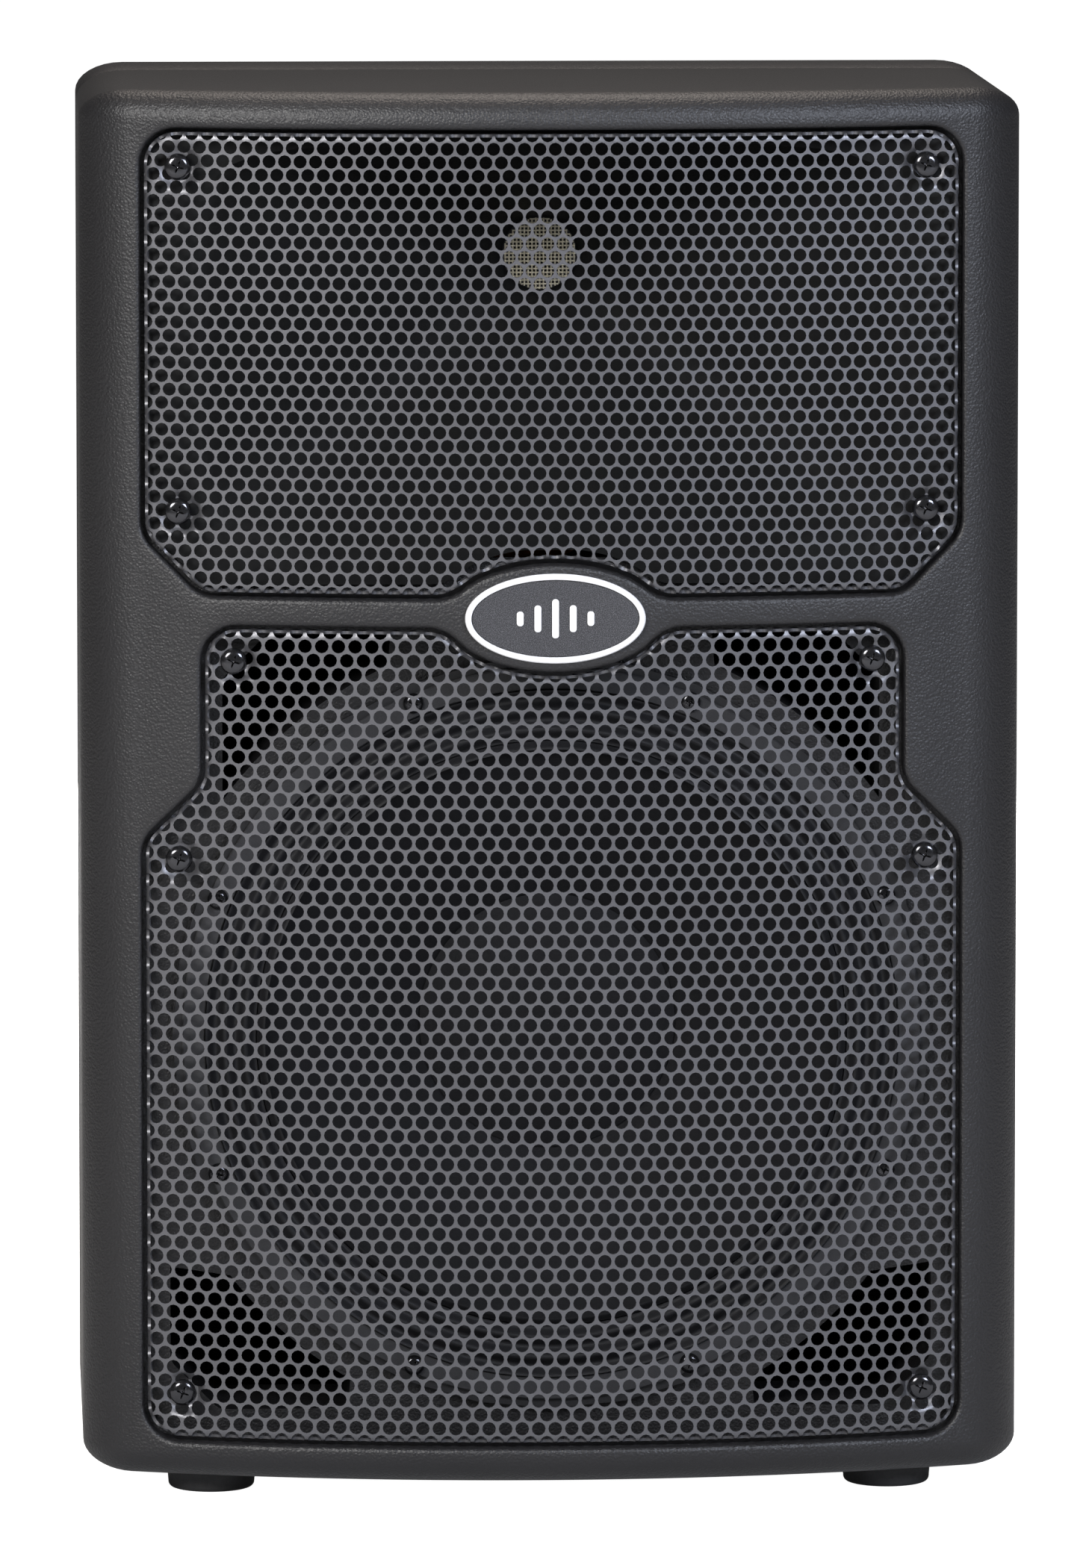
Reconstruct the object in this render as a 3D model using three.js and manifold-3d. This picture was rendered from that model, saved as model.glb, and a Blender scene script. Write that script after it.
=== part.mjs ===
// A powered two-way loudspeaker cabinet with a bowed front: a horn over a twelve-inch woofer, each behind
// its own steel grille, in a two-piece moulded shell with an amplifier in its back.
// Millimetres, +Z up, the front faces -Y. The origin is on the floor, under the middle of the cabinet.
import * as THREE from "three";
import { mergeVertices } from "three/addons/utils/BufferGeometryUtils.js";
import Module from "manifold-3d";

const wasm = await Module();
wasm.setup();

// ---------------------------------------------------------------- driving dimensions
const WIDTH = 386;
const HEIGHT = 580;
const DEPTH = 350;
const GAP = 0.3; // clearance between pieces that touch
const WALL = 5; // moulded wall of both shells
const FOOT_HEIGHT = 9;

const HALF = WIDTH / 2;
const FRONT = -DEPTH / 2; // the badge's face is the foremost point
const BACK = DEPTH / 2;
const BOTTOM = FOOT_HEIGHT;
const TOP = HEIGHT;

const BOW_RADIUS = 525; // the front is part of an upright drum
const APEX_Y = FRONT + 1;
const BOW_Y = APEX_Y + BOW_RADIUS; // the drum's axis
const EDGE_ROLL = 20; // radius from the front into the sides
const TOP_ROLL = 12;
const BOTTOM_ROLL = 12;

const SEAM_Y = 5; // where the front and rear shells meet
const SEAM_GAP = 0.6;
const BAFFLE_Y = -136; // front face of the flat baffle behind the grilles
const BAFFLE_THICK = 6;

const OPENING_HALF = 168.3; // half-width of both grille openings
const WAIST_HALF = 144; // half-width where they narrow towards the badge
const CHAMFER = OPENING_HALF - WAIST_HALF;
const UPPER_TOP = 565;
const UPPER_BOTTOM = 373.5;
const LOWER_TOP = 362;
const LOWER_SHOULDER = 297; // where the lower opening starts to widen
const LOWER_BOTTOM = 24;

const SHEET = 1.2; // grille steel
const GRILLE_RECESS = 1.5; // how far the grille's face is sunk in its opening
const GRILLE_GAP = 1.5; // dark gap round the grille
const GRILLE_FOLD = 8; // depth of the folded rim

const BADGE_Z = 366;
const BADGE_A = 36.8; // half-width of the oval badge
const BADGE_B = 18.4;
const BADGE_BOSS_A = 43.8; // the oval swelling of the web round the badge
const BADGE_BOSS_B = 22.2;

const WOOFER_Z = 191;
const WOOFER_R = 156; // outside of the basket flange
const WOOFER_BOLT_R = 148.5;
const WOOFER_BOLTS = 8;
const WOOFER_SIDES = 32; // facets of the woofer's round pieces

const MOUTH_HALF = 145; // the horn's mouth
const MOUTH_LOW = 391;
const MOUTH_HIGH = 557;
const HORN_WALL = 2.5;
const THROAT_Z = 505;
const THROAT_R = 15.5;
const THROAT_Y = -30;

const PANEL_Y = 155; // inner face of the amplifier panel
const PANEL_THICK = 3;
const PANEL_HALF = 85;
const PANEL_LOW = 145;
const PANEL_HIGH = 445;

// ---------------------------------------------------------------- solids
// A closed geometry as a solid. Profiles drawn the other way round come out inside out and are turned.
function solid(geometry) {
  geometry.deleteAttribute("normal");
  geometry.deleteAttribute("uv");
  const merged = mergeVertices(geometry, 1e-4);
  const corners = merged.index.array;
  const triangles = [];
  for (let i = 0; i < corners.length; i += 3) {
    const [a, b, c] = [corners[i], corners[i + 1], corners[i + 2]];
    if (a !== b && b !== c && c !== a) triangles.push(a, b, c);
  }
  const build = (list) =>
    new wasm.Manifold(
      new wasm.Mesh({
        numProp: 3,
        vertProperties: merged.attributes.position.array,
        triVerts: new Uint32Array(list),
      }),
    );
  const made = build(triangles);
  return made.volume() < 0 ? build(triangles.reverse()) : made;
}

function geometryOf(made) {
  const mesh = made.getMesh();
  const geometry = new THREE.BufferGeometry();
  geometry.setAttribute("position", new THREE.BufferAttribute(mesh.vertProperties, 3));
  geometry.setIndex(new THREE.BufferAttribute(mesh.triVerts, 1));
  geometry.computeVertexNormals();
  return geometry;
}

const join = (...solids) => solids.reduce((all, next) => all.add(next));

function box(x0, x1, y0, y1, z0, z1) {
  const geometry = new THREE.BoxGeometry(x1 - x0, y1 - y0, z1 - z0);
  return solid(geometry.translate((x0 + x1) / 2, (y0 + y1) / 2, (z0 + z1) / 2));
}

// A cylinder lying front to back, from y0 to y1, with its axis at x and z.
function rod(r, y0, y1, x, z, sides = 24) {
  const geometry = new THREE.CylinderGeometry(r, r, y1 - y0, sides);
  return solid(geometry.translate(x, (y0 + y1) / 2, z));
}

// A solid turned about a front-to-back axis at x and z. The profile's points are [radius, y].
function turned(profile, x, z, sides = WOOFER_SIDES) {
  const points = profile.map(([r, y]) => new THREE.Vector2(r, y));
  return solid(new THREE.LatheGeometry(points, sides).translate(x, 0, z));
}

const ring = (rIn, rOut, y0, y1, x, z, sides) =>
  turned([[rIn, y0], [rOut, y0], [rOut, y1], [rIn, y1], [rIn, y0]], x, z, sides);

// The upright drum whose skin is the bowed front, with rolled rims at its top and bottom.
function bowDrum(radius, low, high, lowRoll = 0, highRoll = 0) {
  const path = new THREE.Path().moveTo(0, low).lineTo(radius - lowRoll, low);
  if (lowRoll) path.absarc(radius - lowRoll, low + lowRoll, lowRoll, -Math.PI / 2, 0);
  if (highRoll) path.absarc(radius - highRoll, high - highRoll, highRoll, 0, Math.PI / 2);
  else path.lineTo(radius, high);
  path.lineTo(0, high);
  const rimSteps = 4;
  const drumSides = 90;
  const lathe = new THREE.LatheGeometry(path.getPoints(rimSteps), drumSides);
  return solid(lathe.rotateX(Math.PI / 2).translate(0, BOW_Y, 0));
}

const bowDisc = (radius) => bowDrum(radius, -20, HEIGHT + 20);

// The y of the bowed front at a distance x from the middle.
const skinY = (x) => BOW_Y - Math.sqrt(BOW_RADIUS ** 2 - x ** 2);

// ---------------------------------------------------------------- outlines
// A closed shape through corners [x, y, radius], each rounded by an arc that is tangent to its two sides.
function rounded(corners) {
  const shape = new THREE.Shape();
  const count = corners.length;
  corners.forEach(([x, y, r], i) => {
    const corner = new THREE.Vector2(x, y);
    const before = new THREE.Vector2(...corners[(i + count - 1) % count]).sub(corner).normalize();
    const after = new THREE.Vector2(...corners[(i + 1) % count]).sub(corner).normalize();
    const half = Math.acos(THREE.MathUtils.clamp(before.dot(after), -1, 1)) / 2;
    const reach = r / Math.tan(half);
    const start = corner.clone().addScaledVector(before, reach);
    if (i === 0) shape.moveTo(start.x, start.y);
    else shape.lineTo(start.x, start.y);
    if (r === 0) return;
    const inwards = before.clone().add(after).normalize();
    const centre = corner.clone().addScaledVector(inwards, r / Math.sin(half));
    const end = corner.clone().addScaledVector(after, reach);
    const from = start.clone().sub(centre).angle();
    const to = end.clone().sub(centre).angle();
    shape.absarc(centre.x, centre.y, r, from, to, before.cross(after) > 0);
  });
  shape.closePath();
  return shape;
}

// The same corners moved inwards by a distance; drawn counter-clockwise.
function inset(corners, distance) {
  const count = corners.length;
  return corners.map(([x, y, r], i) => {
    const corner = new THREE.Vector2(x, y);
    const arriving = corner.clone().sub(new THREE.Vector2(...corners[(i + count - 1) % count])).normalize();
    const leaving = new THREE.Vector2(...corners[(i + 1) % count]).sub(corner).normalize();
    const left = new THREE.Vector2(-arriving.y - leaving.y, arriving.x + leaving.x).normalize();
    const reach = distance / left.dot(new THREE.Vector2(-arriving.y, arriving.x));
    const bend = arriving.cross(leaving) > 0 ? -distance : distance;
    return [x + left.x * reach, y + left.y * reach, Math.max(r + bend, 0.5)];
  });
}

// A left-right symmetric outline from the corners of its right side, listed upwards.
const mirrored = (right) => [...right, ...right.map(([x, y, r]) => [-x, y, r]).reverse()];

const CORNER_STEPS = 3;

function extrude(shape, depth) {
  return new THREE.ExtrudeGeometry(shape, { depth, bevelEnabled: false, curveSegments: CORNER_STEPS });
}

// Extrusions along each axis: of an outline in x and z, in x and y, and in y and z.
const alongY = (shape, y0, y1) =>
  solid(extrude(shape, y1 - y0).rotateX(Math.PI / 2).translate(0, y1, 0));
const alongZ = (shape, z0, z1) => solid(extrude(shape, z1 - z0).translate(0, 0, z0));
const alongX = (shape, x0, x1) =>
  solid(extrude(shape, x1 - x0).rotateX(Math.PI / 2).rotateZ(Math.PI / 2).translate(x0, 0, 0));

function oval(a, b, y0, y1, sides = 32) {
  const geometry = new THREE.CylinderGeometry(1, 1, y1 - y0, sides);
  return solid(geometry.scale(a, 1, b).translate(0, (y0 + y1) / 2, BADGE_Z));
}

const rectangle = (x0, x1, y0, y1, r) => [[x1, y0, r], [x1, y1, r], [x0, y1, r], [x0, y0, r]];

const BODY_OUTLINE = mirrored([[HALF, BOTTOM, EDGE_ROLL], [HALF, TOP, TOP_ROLL]]);
const UPPER_OUTLINE = mirrored([
  [WAIST_HALF, UPPER_BOTTOM, 15],
  [OPENING_HALF, UPPER_BOTTOM + CHAMFER, 15],
  [OPENING_HALF, UPPER_TOP, 14.5],
]);
const LOWER_OUTLINE = mirrored([
  [OPENING_HALF, LOWER_BOTTOM, 15.5],
  [OPENING_HALF, LOWER_SHOULDER - CHAMFER, 15],
  [WAIST_HALF, LOWER_SHOULDER, 15],
  [WAIST_HALF, LOWER_TOP, 15],
]);

// ---------------------------------------------------------------- grille screws
const SCREW_X = 153;
const GRILLE_SCREWS = [
  { x: 152.8, z: 549, upper: true },
  { x: SCREW_X, z: 408, upper: true },
  { x: 130.7, z: 347, upper: false },
  { x: SCREW_X, z: 265, upper: false },
  { x: 152.2, z: 44, upper: false },
].flatMap((place) => [{ ...place, x: -place.x }, place]);

const DISH_R = 8.4; // the dimple that a screw head sits in
const HEAD_R = 5.4;
const HEAD_HEIGHT = 2.4;
const SHANK_R = 1.9;
const BOSS_R = 5.5;
const SCREW_LENGTH = 12;
const SMALL_SIDES = 8; // sides of screws and their holes

// The floor of the dimple is square to the screw and just behind the lowest edge of the bowed sheet.
const seatY = (x) => skinY(Math.abs(x) + DISH_R) + GRILLE_RECESS + 0.8;

// A pan-head screw with its seat at y.
function panScrew(x, z, y, headR = HEAD_R, length = SCREW_LENGTH) {
  const under = y - GAP;
  const crown = under - HEAD_HEIGHT;
  const profile = [
    [0, crown], [headR * 0.65, crown + 0.3], [headR, under - 1], [headR, under],
    [SHANK_R, under], [SHANK_R, y + length], [0, y + length],
  ];
  return turned(profile, x, z, SMALL_SIDES);
}

// ---------------------------------------------------------------- front shell
const PORT_WALL = 3;
const PORT_LENGTH = 60;
const PORT_ARC = 166; // the ports' inner sides run round the woofer

// A corner port on the right side: three straight sides, and an arc concentric with the woofer.
function portShape(wide, far, near, notch, grow) {
  const arcR = PORT_ARC - grow;
  const side = wide + grow;
  const end = far + Math.sign(far - WOOFER_Z) * grow;
  const rise = end - WOOFER_Z;
  const sideAngle = Math.atan2(Math.sign(rise) * Math.sqrt(arcR ** 2 - side ** 2), side);
  const endAngle = Math.atan2(rise, near - grow);
  const shape = new THREE.Shape();
  const arcStart = Math.max(Math.abs(sideAngle), 0.62) * Math.sign(rise);
  shape.moveTo(side, WOOFER_Z + side * Math.tan(arcStart));
  shape.lineTo(side, end - Math.sign(rise) * notch);
  shape.lineTo(side - notch, end);
  shape.lineTo(near - grow, end);
  shape.absarc(0, WOOFER_Z, arcR, endAngle, arcStart, endAngle > arcStart);
  shape.closePath();
  return shape;
}

function ports(grow, y0, y1) {
  const right = [
    alongY(portShape(157, 35, 84, 20, grow), y0, y1),
    alongY(portShape(135, 356, 66, 18, grow), y0, y1),
  ];
  return join(...right.flatMap((port) => [port, port.mirror([1, 0, 0])]));
}

function bowedBlock() {
  const centreX = HALF - EDGE_ROLL;
  const centreY = BOW_Y - Math.sqrt((BOW_RADIUS - EDGE_ROLL) ** 2 - centreX ** 2);
  const touchAngle = Math.atan2(centreY - BOW_Y, centreX);
  const plan = new THREE.Shape();
  const cornerX = centreX + EDGE_ROLL * Math.cos(touchAngle);
  const cornerY = centreY + EDGE_ROLL * Math.sin(touchAngle);
  // past the roll the plan runs on along the tangent, outside the drum, so the drum alone makes the bow
  const beyond = 60;
  const slope = -Math.cos(touchAngle) / Math.sin(touchAngle);
  plan.moveTo(0, cornerY - beyond);
  plan.lineTo(cornerX - beyond, cornerY - beyond * slope);
  plan.lineTo(cornerX, cornerY);
  plan.absarc(centreX, centreY, EDGE_ROLL, touchAngle, 0, false);
  plan.lineTo(HALF, SEAM_Y);
  plan.lineTo(0, SEAM_Y);
  plan.closePath();
  const halfPlan = alongZ(plan, BOTTOM - 1, TOP + 1);
  const block = alongY(rounded(BODY_OUTLINE), FRONT - 1, SEAM_Y);
  return block
    .intersect(halfPlan.add(halfPlan.mirror([1, 0, 0])))
    .intersect(bowDrum(BOW_RADIUS, BOTTOM, TOP, BOTTOM_ROLL, TOP_ROLL));
}

const FLANGE = 16; // inner edge of the flanges where the shells meet
const FLANGE_THICK = 8;
const GROOVE_OUT = 7.6; // the sealing groove in both flanges
const GROOVE_IN = 12.4;
const GROOVE_DEPTH = 2.8;

const grooveRing = (y0, y1, out, inner) =>
  alongY(rounded(inset(BODY_OUTLINE, out)), y0, y1)
    .subtract(alongY(rounded(inset(BODY_OUTLINE, inner)), y0 - 1, y1 + 1));

const WOOFER_HOLE_R = 142;

function frontShell() {
  const badgeBoss = oval(BADGE_BOSS_A, BADGE_BOSS_B, FRONT - 5, SEAM_Y);
  const pockets = alongY(rounded(UPPER_OUTLINE), FRONT - 5, BAFFLE_Y)
    .add(alongY(rounded(LOWER_OUTLINE), FRONT - 5, BAFFLE_Y))
    .subtract(badgeBoss)
    .add(rod(WOOFER_R + 1, FLANGE_FRONT - 1, BAFFLE_Y, 0, WOOFER_Z, WOOFER_SIDES));
  const baffleBack = BAFFLE_Y + BAFFLE_THICK;
  const flangeFront = SEAM_Y - FLANGE_THICK;
  const cavity = alongY(rounded(inset(BODY_OUTLINE, WALL)), baffleBack, flangeFront)
    .add(alongY(rounded(inset(BODY_OUTLINE, FLANGE)), flangeFront - 1, SEAM_Y + 1));
  const past = HORN_WALL + 1;
  const hornOutline = rectangle(-MOUTH_HALF - past, MOUTH_HALF + past, MOUTH_LOW - past, MOUTH_HIGH + past, 30);
  const hornHole = alongY(rounded(hornOutline), BAFFLE_Y - 1, baffleBack + 1);
  const wooferHole = rod(WOOFER_HOLE_R, BAFFLE_Y - 1, baffleBack + 1, 0, WOOFER_Z, WOOFER_SIDES);
  const groove = grooveRing(SEAM_Y - GROOVE_DEPTH, SEAM_Y + 1, GROOVE_OUT, GROOVE_IN);
  const badgeSeat = oval(BADGE_A + GAP, BADGE_B + GAP, FRONT - 5, FRONT + 3.5);
  const bosses = GRILLE_SCREWS.map(({ x, z }) =>
    rod(BOSS_R, seatY(x) + SHEET + GAP, BAFFLE_Y + 2, x, z, 12),
  );
  const pilots = GRILLE_SCREWS.map(({ x, z }) =>
    rod(SHANK_R + GAP, seatY(x), baffleBack + 1, x, z, SMALL_SIDES),
  );
  const boltPilots = wooferBoltHoles(BAFFLE_Y - 1, baffleBack + 1);
  return bowedBlock()
    .subtract(join(pockets, cavity, hornHole, wooferHole, groove, badgeSeat))
    .add(ports(PORT_WALL, BAFFLE_Y + 1, BAFFLE_Y + PORT_LENGTH))
    .subtract(ports(0, BAFFLE_Y - 1, BAFFLE_Y + PORT_LENGTH + 1))
    .add(join(...bosses))
    .subtract(join(...pilots, boltPilots));
}

function shellGasket() {
  const y0 = SEAM_Y - GROOVE_DEPTH + GAP;
  const y1 = SEAM_Y + SEAM_GAP + GROOVE_DEPTH - GAP;
  return grooveRing(y0, y1, GROOVE_OUT + GAP, GROOVE_IN - GAP);
}

// ---------------------------------------------------------------- grilles and badge
// A bowed sheet with its rim folded back and a dimple for each screw.
function grille(outline, screws) {
  const face = BOW_RADIUS - GRILLE_RECESS;
  const clearOval = (extra) =>
    oval(BADGE_BOSS_A + GRILLE_GAP + extra, BADGE_BOSS_B + GRILLE_GAP + extra, FRONT - 5, BAFFLE_Y);
  const layer = (extra) =>
    alongY(rounded(inset(outline, GRILLE_GAP + extra)), FRONT - 5, BAFFLE_Y - 1).subtract(clearOval(extra));
  const skin = bowDisc(face);
  const sheet = layer(0)
    .intersect(skin)
    .subtract(layer(SHEET).intersect(bowDisc(face - SHEET)))
    .subtract(bowDisc(face - GRILLE_FOLD));
  const cups = screws.map(({ x, z }) =>
    rod(DISH_R + SHEET, FRONT, seatY(x) + SHEET, x, z, 14).intersect(skin),
  );
  const dishes = screws.flatMap(({ x, z }) => [
    rod(DISH_R, FRONT, seatY(x), x, z, 14),
    rod(SHANK_R + GAP, FRONT, BAFFLE_Y, x, z, SMALL_SIDES),
  ]);
  return sheet.add(join(...cups)).subtract(join(...dishes));
}

const BADGE_BACK = FRONT + 3.2;
const BADGE_RIM = 2.6;

const badgeRim = () =>
  oval(BADGE_A, BADGE_B, FRONT, BADGE_BACK)
    .subtract(oval(BADGE_A - BADGE_RIM, BADGE_B - BADGE_RIM, FRONT - 1, BADGE_BACK + 1));

// The dark plate carries a plain row of rounded bars, like a level meter.
function badgePlate() {
  const border = BADGE_RIM + GAP;
  const plate = oval(BADGE_A - border, BADGE_B - border, FRONT + 0.8, BADGE_BACK);
  const barHeights = [5, 10, 15, 10, 5];
  const pitch = 7;
  const barHalf = 1.5;
  const middle = (barHeights.length - 1) / 2;
  const bars = barHeights.map((height, i) => {
    const x = (i - middle) * pitch;
    const z = BADGE_Z - height / 2;
    return box(x - barHalf, x + barHalf, FRONT + 0.2, FRONT + 1, z, z + height);
  });
  return plate.add(join(...bars));
}

// ---------------------------------------------------------------- horn and compression driver
const HORN_MOUTH_Y = BAFFLE_Y - 5;
const HORN_RINGS = 6;
const HORN_SIDES = 28;

// The horn's section at t from the throat (0) to the mouth (1): a circle that grows into a rounded
// rectangle, while its middle comes down from the throat's height to the mouth's.
function hornRing(t, grow) {
  const flare = t ** 1.25;
  const wide = THREE.MathUtils.lerp(THROAT_R, MOUTH_HALF, flare) + grow;
  const mouthHigh = (MOUTH_HIGH - MOUTH_LOW) / 2;
  const high = THREE.MathUtils.lerp(THROAT_R, mouthHigh, flare) + grow;
  const middle = THREE.MathUtils.lerp(THROAT_Z, (MOUTH_HIGH + MOUTH_LOW) / 2, flare);
  const power = THREE.MathUtils.lerp(2, 7, Math.min(1, 2 * t));
  const y = THREE.MathUtils.lerp(THROAT_Y, HORN_MOUTH_Y, t);
  return Array.from({ length: HORN_SIDES }, (_, i) => {
    const angle = (2 * Math.PI * i) / HORN_SIDES;
    const c = Math.cos(angle);
    const s = Math.sin(angle);
    const reach = (Math.abs(c) ** power + Math.abs(s) ** power) ** (-1 / power);
    return [c * reach * wide, y, middle + s * reach * high];
  });
}

// A closed solid through rings of equal length, with flat ends.
function loft(rings) {
  const sides = rings[0].length;
  const centre = (points) => {
    const sum = [0, 1, 2].map((axis) => points.reduce((total, p) => total + p[axis], 0));
    return sum.map((value) => value / sides);
  };
  const points = [...rings.flat(), centre(rings[0]), centre(rings.at(-1))];
  const first = rings.length * sides;
  const index = [];
  for (let i = 0; i < sides; i++) {
    const next = (i + 1) % sides;
    for (let k = 0; k + 1 < rings.length; k++) {
      const [a, b] = [k * sides + i, k * sides + next];
      index.push(a, b, b + sides, a, b + sides, a + sides);
    }
    const last = (rings.length - 1) * sides;
    index.push(first, next, i, first + 1, last + i, last + next);
  }
  const geometry = new THREE.BufferGeometry();
  geometry.setAttribute("position", new THREE.Float32BufferAttribute(points.flat(), 3));
  geometry.setIndex(index);
  return solid(geometry);
}

function hornWaveguide() {
  const stations = Array.from({ length: HORN_RINGS }, (_, k) => k / (HORN_RINGS - 1));
  const outside = loft(stations.map((t) => hornRing(t, HORN_WALL)));
  const pushed = (ring, by) => ring.map(([x, y, z]) => [x, y + by, z]);
  const insideRings = stations.map((t) => hornRing(t, 0));
  insideRings.unshift(pushed(insideRings[0], 5));
  insideRings.push(pushed(insideRings.at(-1), -5));
  const flange = alongY(rounded(inset(UPPER_OUTLINE, 3.5)), HORN_MOUTH_Y, BAFFLE_Y - GAP)
    .subtract(oval(BADGE_BOSS_A + 4, BADGE_BOSS_B + 4, HORN_MOUTH_Y - 1, BAFFLE_Y + 1));
  const driverFlange = rod(38, THROAT_Y - 6, THROAT_Y, 0, THROAT_Z, 32);
  const bossHoles = GRILLE_SCREWS.filter(({ upper }) => upper).map(({ x, z }) =>
    rod(BOSS_R + 0.7, HORN_MOUTH_Y - 1, BAFFLE_Y + 1, x, z, 12),
  );
  return join(outside, flange, driverFlange).subtract(join(loft(insideRings), ...bossHoles));
}

const throatScreen = () => rod(THROAT_R - 0.5, THROAT_Y - 3, THROAT_Y - 2.2, 0, THROAT_Z, 24);

const DRIVER_R = 42;
const DRIVER_BACK = 10;
const DOME_R = 22;

function compressionDriverBody() {
  const front = THROAT_Y + GAP;
  const profile = [
    [10, front], [36, front], [DRIVER_R, front + 6], [DRIVER_R, DRIVER_BACK - 4], [38, DRIVER_BACK],
    [8, DRIVER_BACK], [10, front],
  ];
  return turned(profile, 0, THROAT_Z, 24);
}

function compressionDriverCap() {
  const y0 = DRIVER_BACK + GAP;
  const profile = [
    [30, y0], [38, y0], [38, y0 + 12], [32, y0 + 16], [0, y0 + 16], [0, y0 + 13], [30, y0 + 13], [30, y0],
  ];
  return turned(profile, 0, THROAT_Z, 24);
}

function hfDiaphragm() {
  const y0 = DRIVER_BACK + 1.5;
  const skin = 0.6;
  const dome = (r, y) => [0, 0.5, 0.85, 1].map((s) => [r * s, y + 5 * Math.sqrt(1 - s * s)]);
  const outside = dome(DOME_R, y0 + skin);
  const inside = dome(DOME_R - skin, y0).reverse();
  const land = [[26, y0 + skin], [26, y0]];
  return turned([...outside, ...land, ...inside], 0, THROAT_Z, 16);
}

// ---------------------------------------------------------------- woofer
const FLANGE_FRONT = BAFFLE_Y - 4.3;
const CONE_R = 121;
const CONE_FRONT = FLANGE_FRONT - 0.6;
const NECK_R = 38.6;
const NECK_Y = -88;
const CONE_THICK = 1.2;
const CAP_R = 53;
const BASKET_BACK = -58;
const BASKET_LEGS = 6;

function wooferBoltPlaces() {
  return Array.from({ length: WOOFER_BOLTS }, (_, i) => {
    const angle = ((i + 0.5) * 2 * Math.PI) / WOOFER_BOLTS;
    return [WOOFER_BOLT_R * Math.cos(angle), WOOFER_Z + WOOFER_BOLT_R * Math.sin(angle)];
  });
}

const wooferBoltHoles = (y0, y1) =>
  join(...wooferBoltPlaces().map(([x, z]) => rod(SHANK_R + GAP, y0, y1, x, z, SMALL_SIDES)));

function wooferBasket() {
  const seat = BAFFLE_Y - GAP;
  const profile = [
    [138, FLANGE_FRONT], [WOOFER_R, FLANGE_FRONT], [WOOFER_R, seat], [141, seat], [138, seat + 6],
    [86, -84], [84, -60], [84, BASKET_BACK], [44, BASKET_BACK], [44, -61], [80, -61], [80, -81], [82, -87],
    [134.5, seat + 5], [138, FLANGE_FRONT],
  ];
  const basket = turned(profile, 0, WOOFER_Z);
  const windowWide = 44;
  const windows = Array.from({ length: BASKET_LEGS }, (_, i) => {
    const opening = box(90, 150, -122, -90, -windowWide / 2, windowWide / 2);
    return opening.rotate([0, (360 * i) / BASKET_LEGS, 0]).translate([0, 0, WOOFER_Z]);
  });
  return basket.subtract(join(...windows, wooferBoltHoles(FLANGE_FRONT - 1, BAFFLE_Y + 1)));
}

// The cone's depth at radius r, a little curved, from the neck to its front edge.
function coneY(r) {
  const share = (r - NECK_R) / (CONE_R - NECK_R);
  return THREE.MathUtils.lerp(NECK_Y, CONE_FRONT, share ** 0.9);
}

function wooferCone() {
  const radii = [NECK_R, 60, 88, CONE_R];
  const front = radii.map((r) => [r, coneY(r)]);
  const back = radii.map((r) => [r, coneY(r) + CONE_THICK]).reverse();
  return turned([...front, ...back, front[0]], 0, WOOFER_Z);
}

function dustCap() {
  const rise = 13;
  const rim = coneY(CAP_R) - GAP - 0.6;
  const thick = 1;
  const steps = [0, 0.4, 0.75, 1];
  const dome = (y) => steps.map((s) => [CAP_R * s, y - rise * Math.sqrt(1 - (s * 0.95) ** 2)]);
  const drop = rim + rise * Math.sqrt(1 - 0.95 ** 2);
  return turned([...dome(drop - thick), ...dome(drop).reverse()], 0, WOOFER_Z);
}

// A ring of thin cloth pressed into folds that go forward and back by turns.
function corrugated(rIn, rOut, y, thick, folds, height) {
  const wave = (shift) =>
    Array.from({ length: folds + 1 }, (_, i) => {
      const r = THREE.MathUtils.lerp(rIn, rOut, i / folds);
      return [r, y + shift + (i % 2 ? -height : height)];
    });
  const front = wave(0);
  return turned([...front, ...wave(thick).reverse(), front[0]], 0, WOOFER_Z);
}

const wooferSurround = () => corrugated(CONE_R + GAP, 142.2, FLANGE_FRONT - 2.6, 0.8, 4, 1.4);
const wooferSpider = () => corrugated(NECK_R + 1.6, 79, -82, 0.6, 4, 1.2);

const GASKET_FRONT = FLANGE_FRONT - 2; // the screws bear on the gasket ring

const wooferGasket = () =>
  ring(142.6, 152, GASKET_FRONT, FLANGE_FRONT - GAP, 0, WOOFER_Z)
    .subtract(wooferBoltHoles(GASKET_FRONT - 1, FLANGE_FRONT));

const voiceCoil = () => ring(37.3, 38.3, NECK_Y - 2, -44, 0, WOOFER_Z);
const topPlate = () => ring(39.8, 85, BASKET_BACK + GAP, -50, 0, WOOFER_Z);
const magnet = () => ring(46, 95, -50 + GAP, -30, 0, WOOFER_Z);

function backPlate() {
  const front = -30 + GAP;
  const profile = [
    [0, BASKET_BACK], [36.3, BASKET_BACK], [36.3, front], [90, front], [90, -22], [86, -20], [0, -20],
  ];
  return turned(profile, 0, WOOFER_Z);
}

// ---------------------------------------------------------------- rear shell, handle, socket and feet
const REAR_FRONT = SEAM_Y + SEAM_GAP;
const SHOULDER_Y = 75; // where the sides and the top start to lean in
const REAR_HALF = 122;
const REAR_TOP = 500;
const REAR_PLAN = mirrored([[REAR_HALF, BACK, 14], [HALF, SHOULDER_Y, 30], [HALF, REAR_FRONT, 0]])
  .reverse();
const REAR_SIDE = [
  [REAR_FRONT, BOTTOM, 0], [BACK, BOTTOM, 14], [BACK, REAR_TOP, 14], [SHOULDER_Y, TOP, 30],
  [REAR_FRONT, TOP, 0],
];

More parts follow.
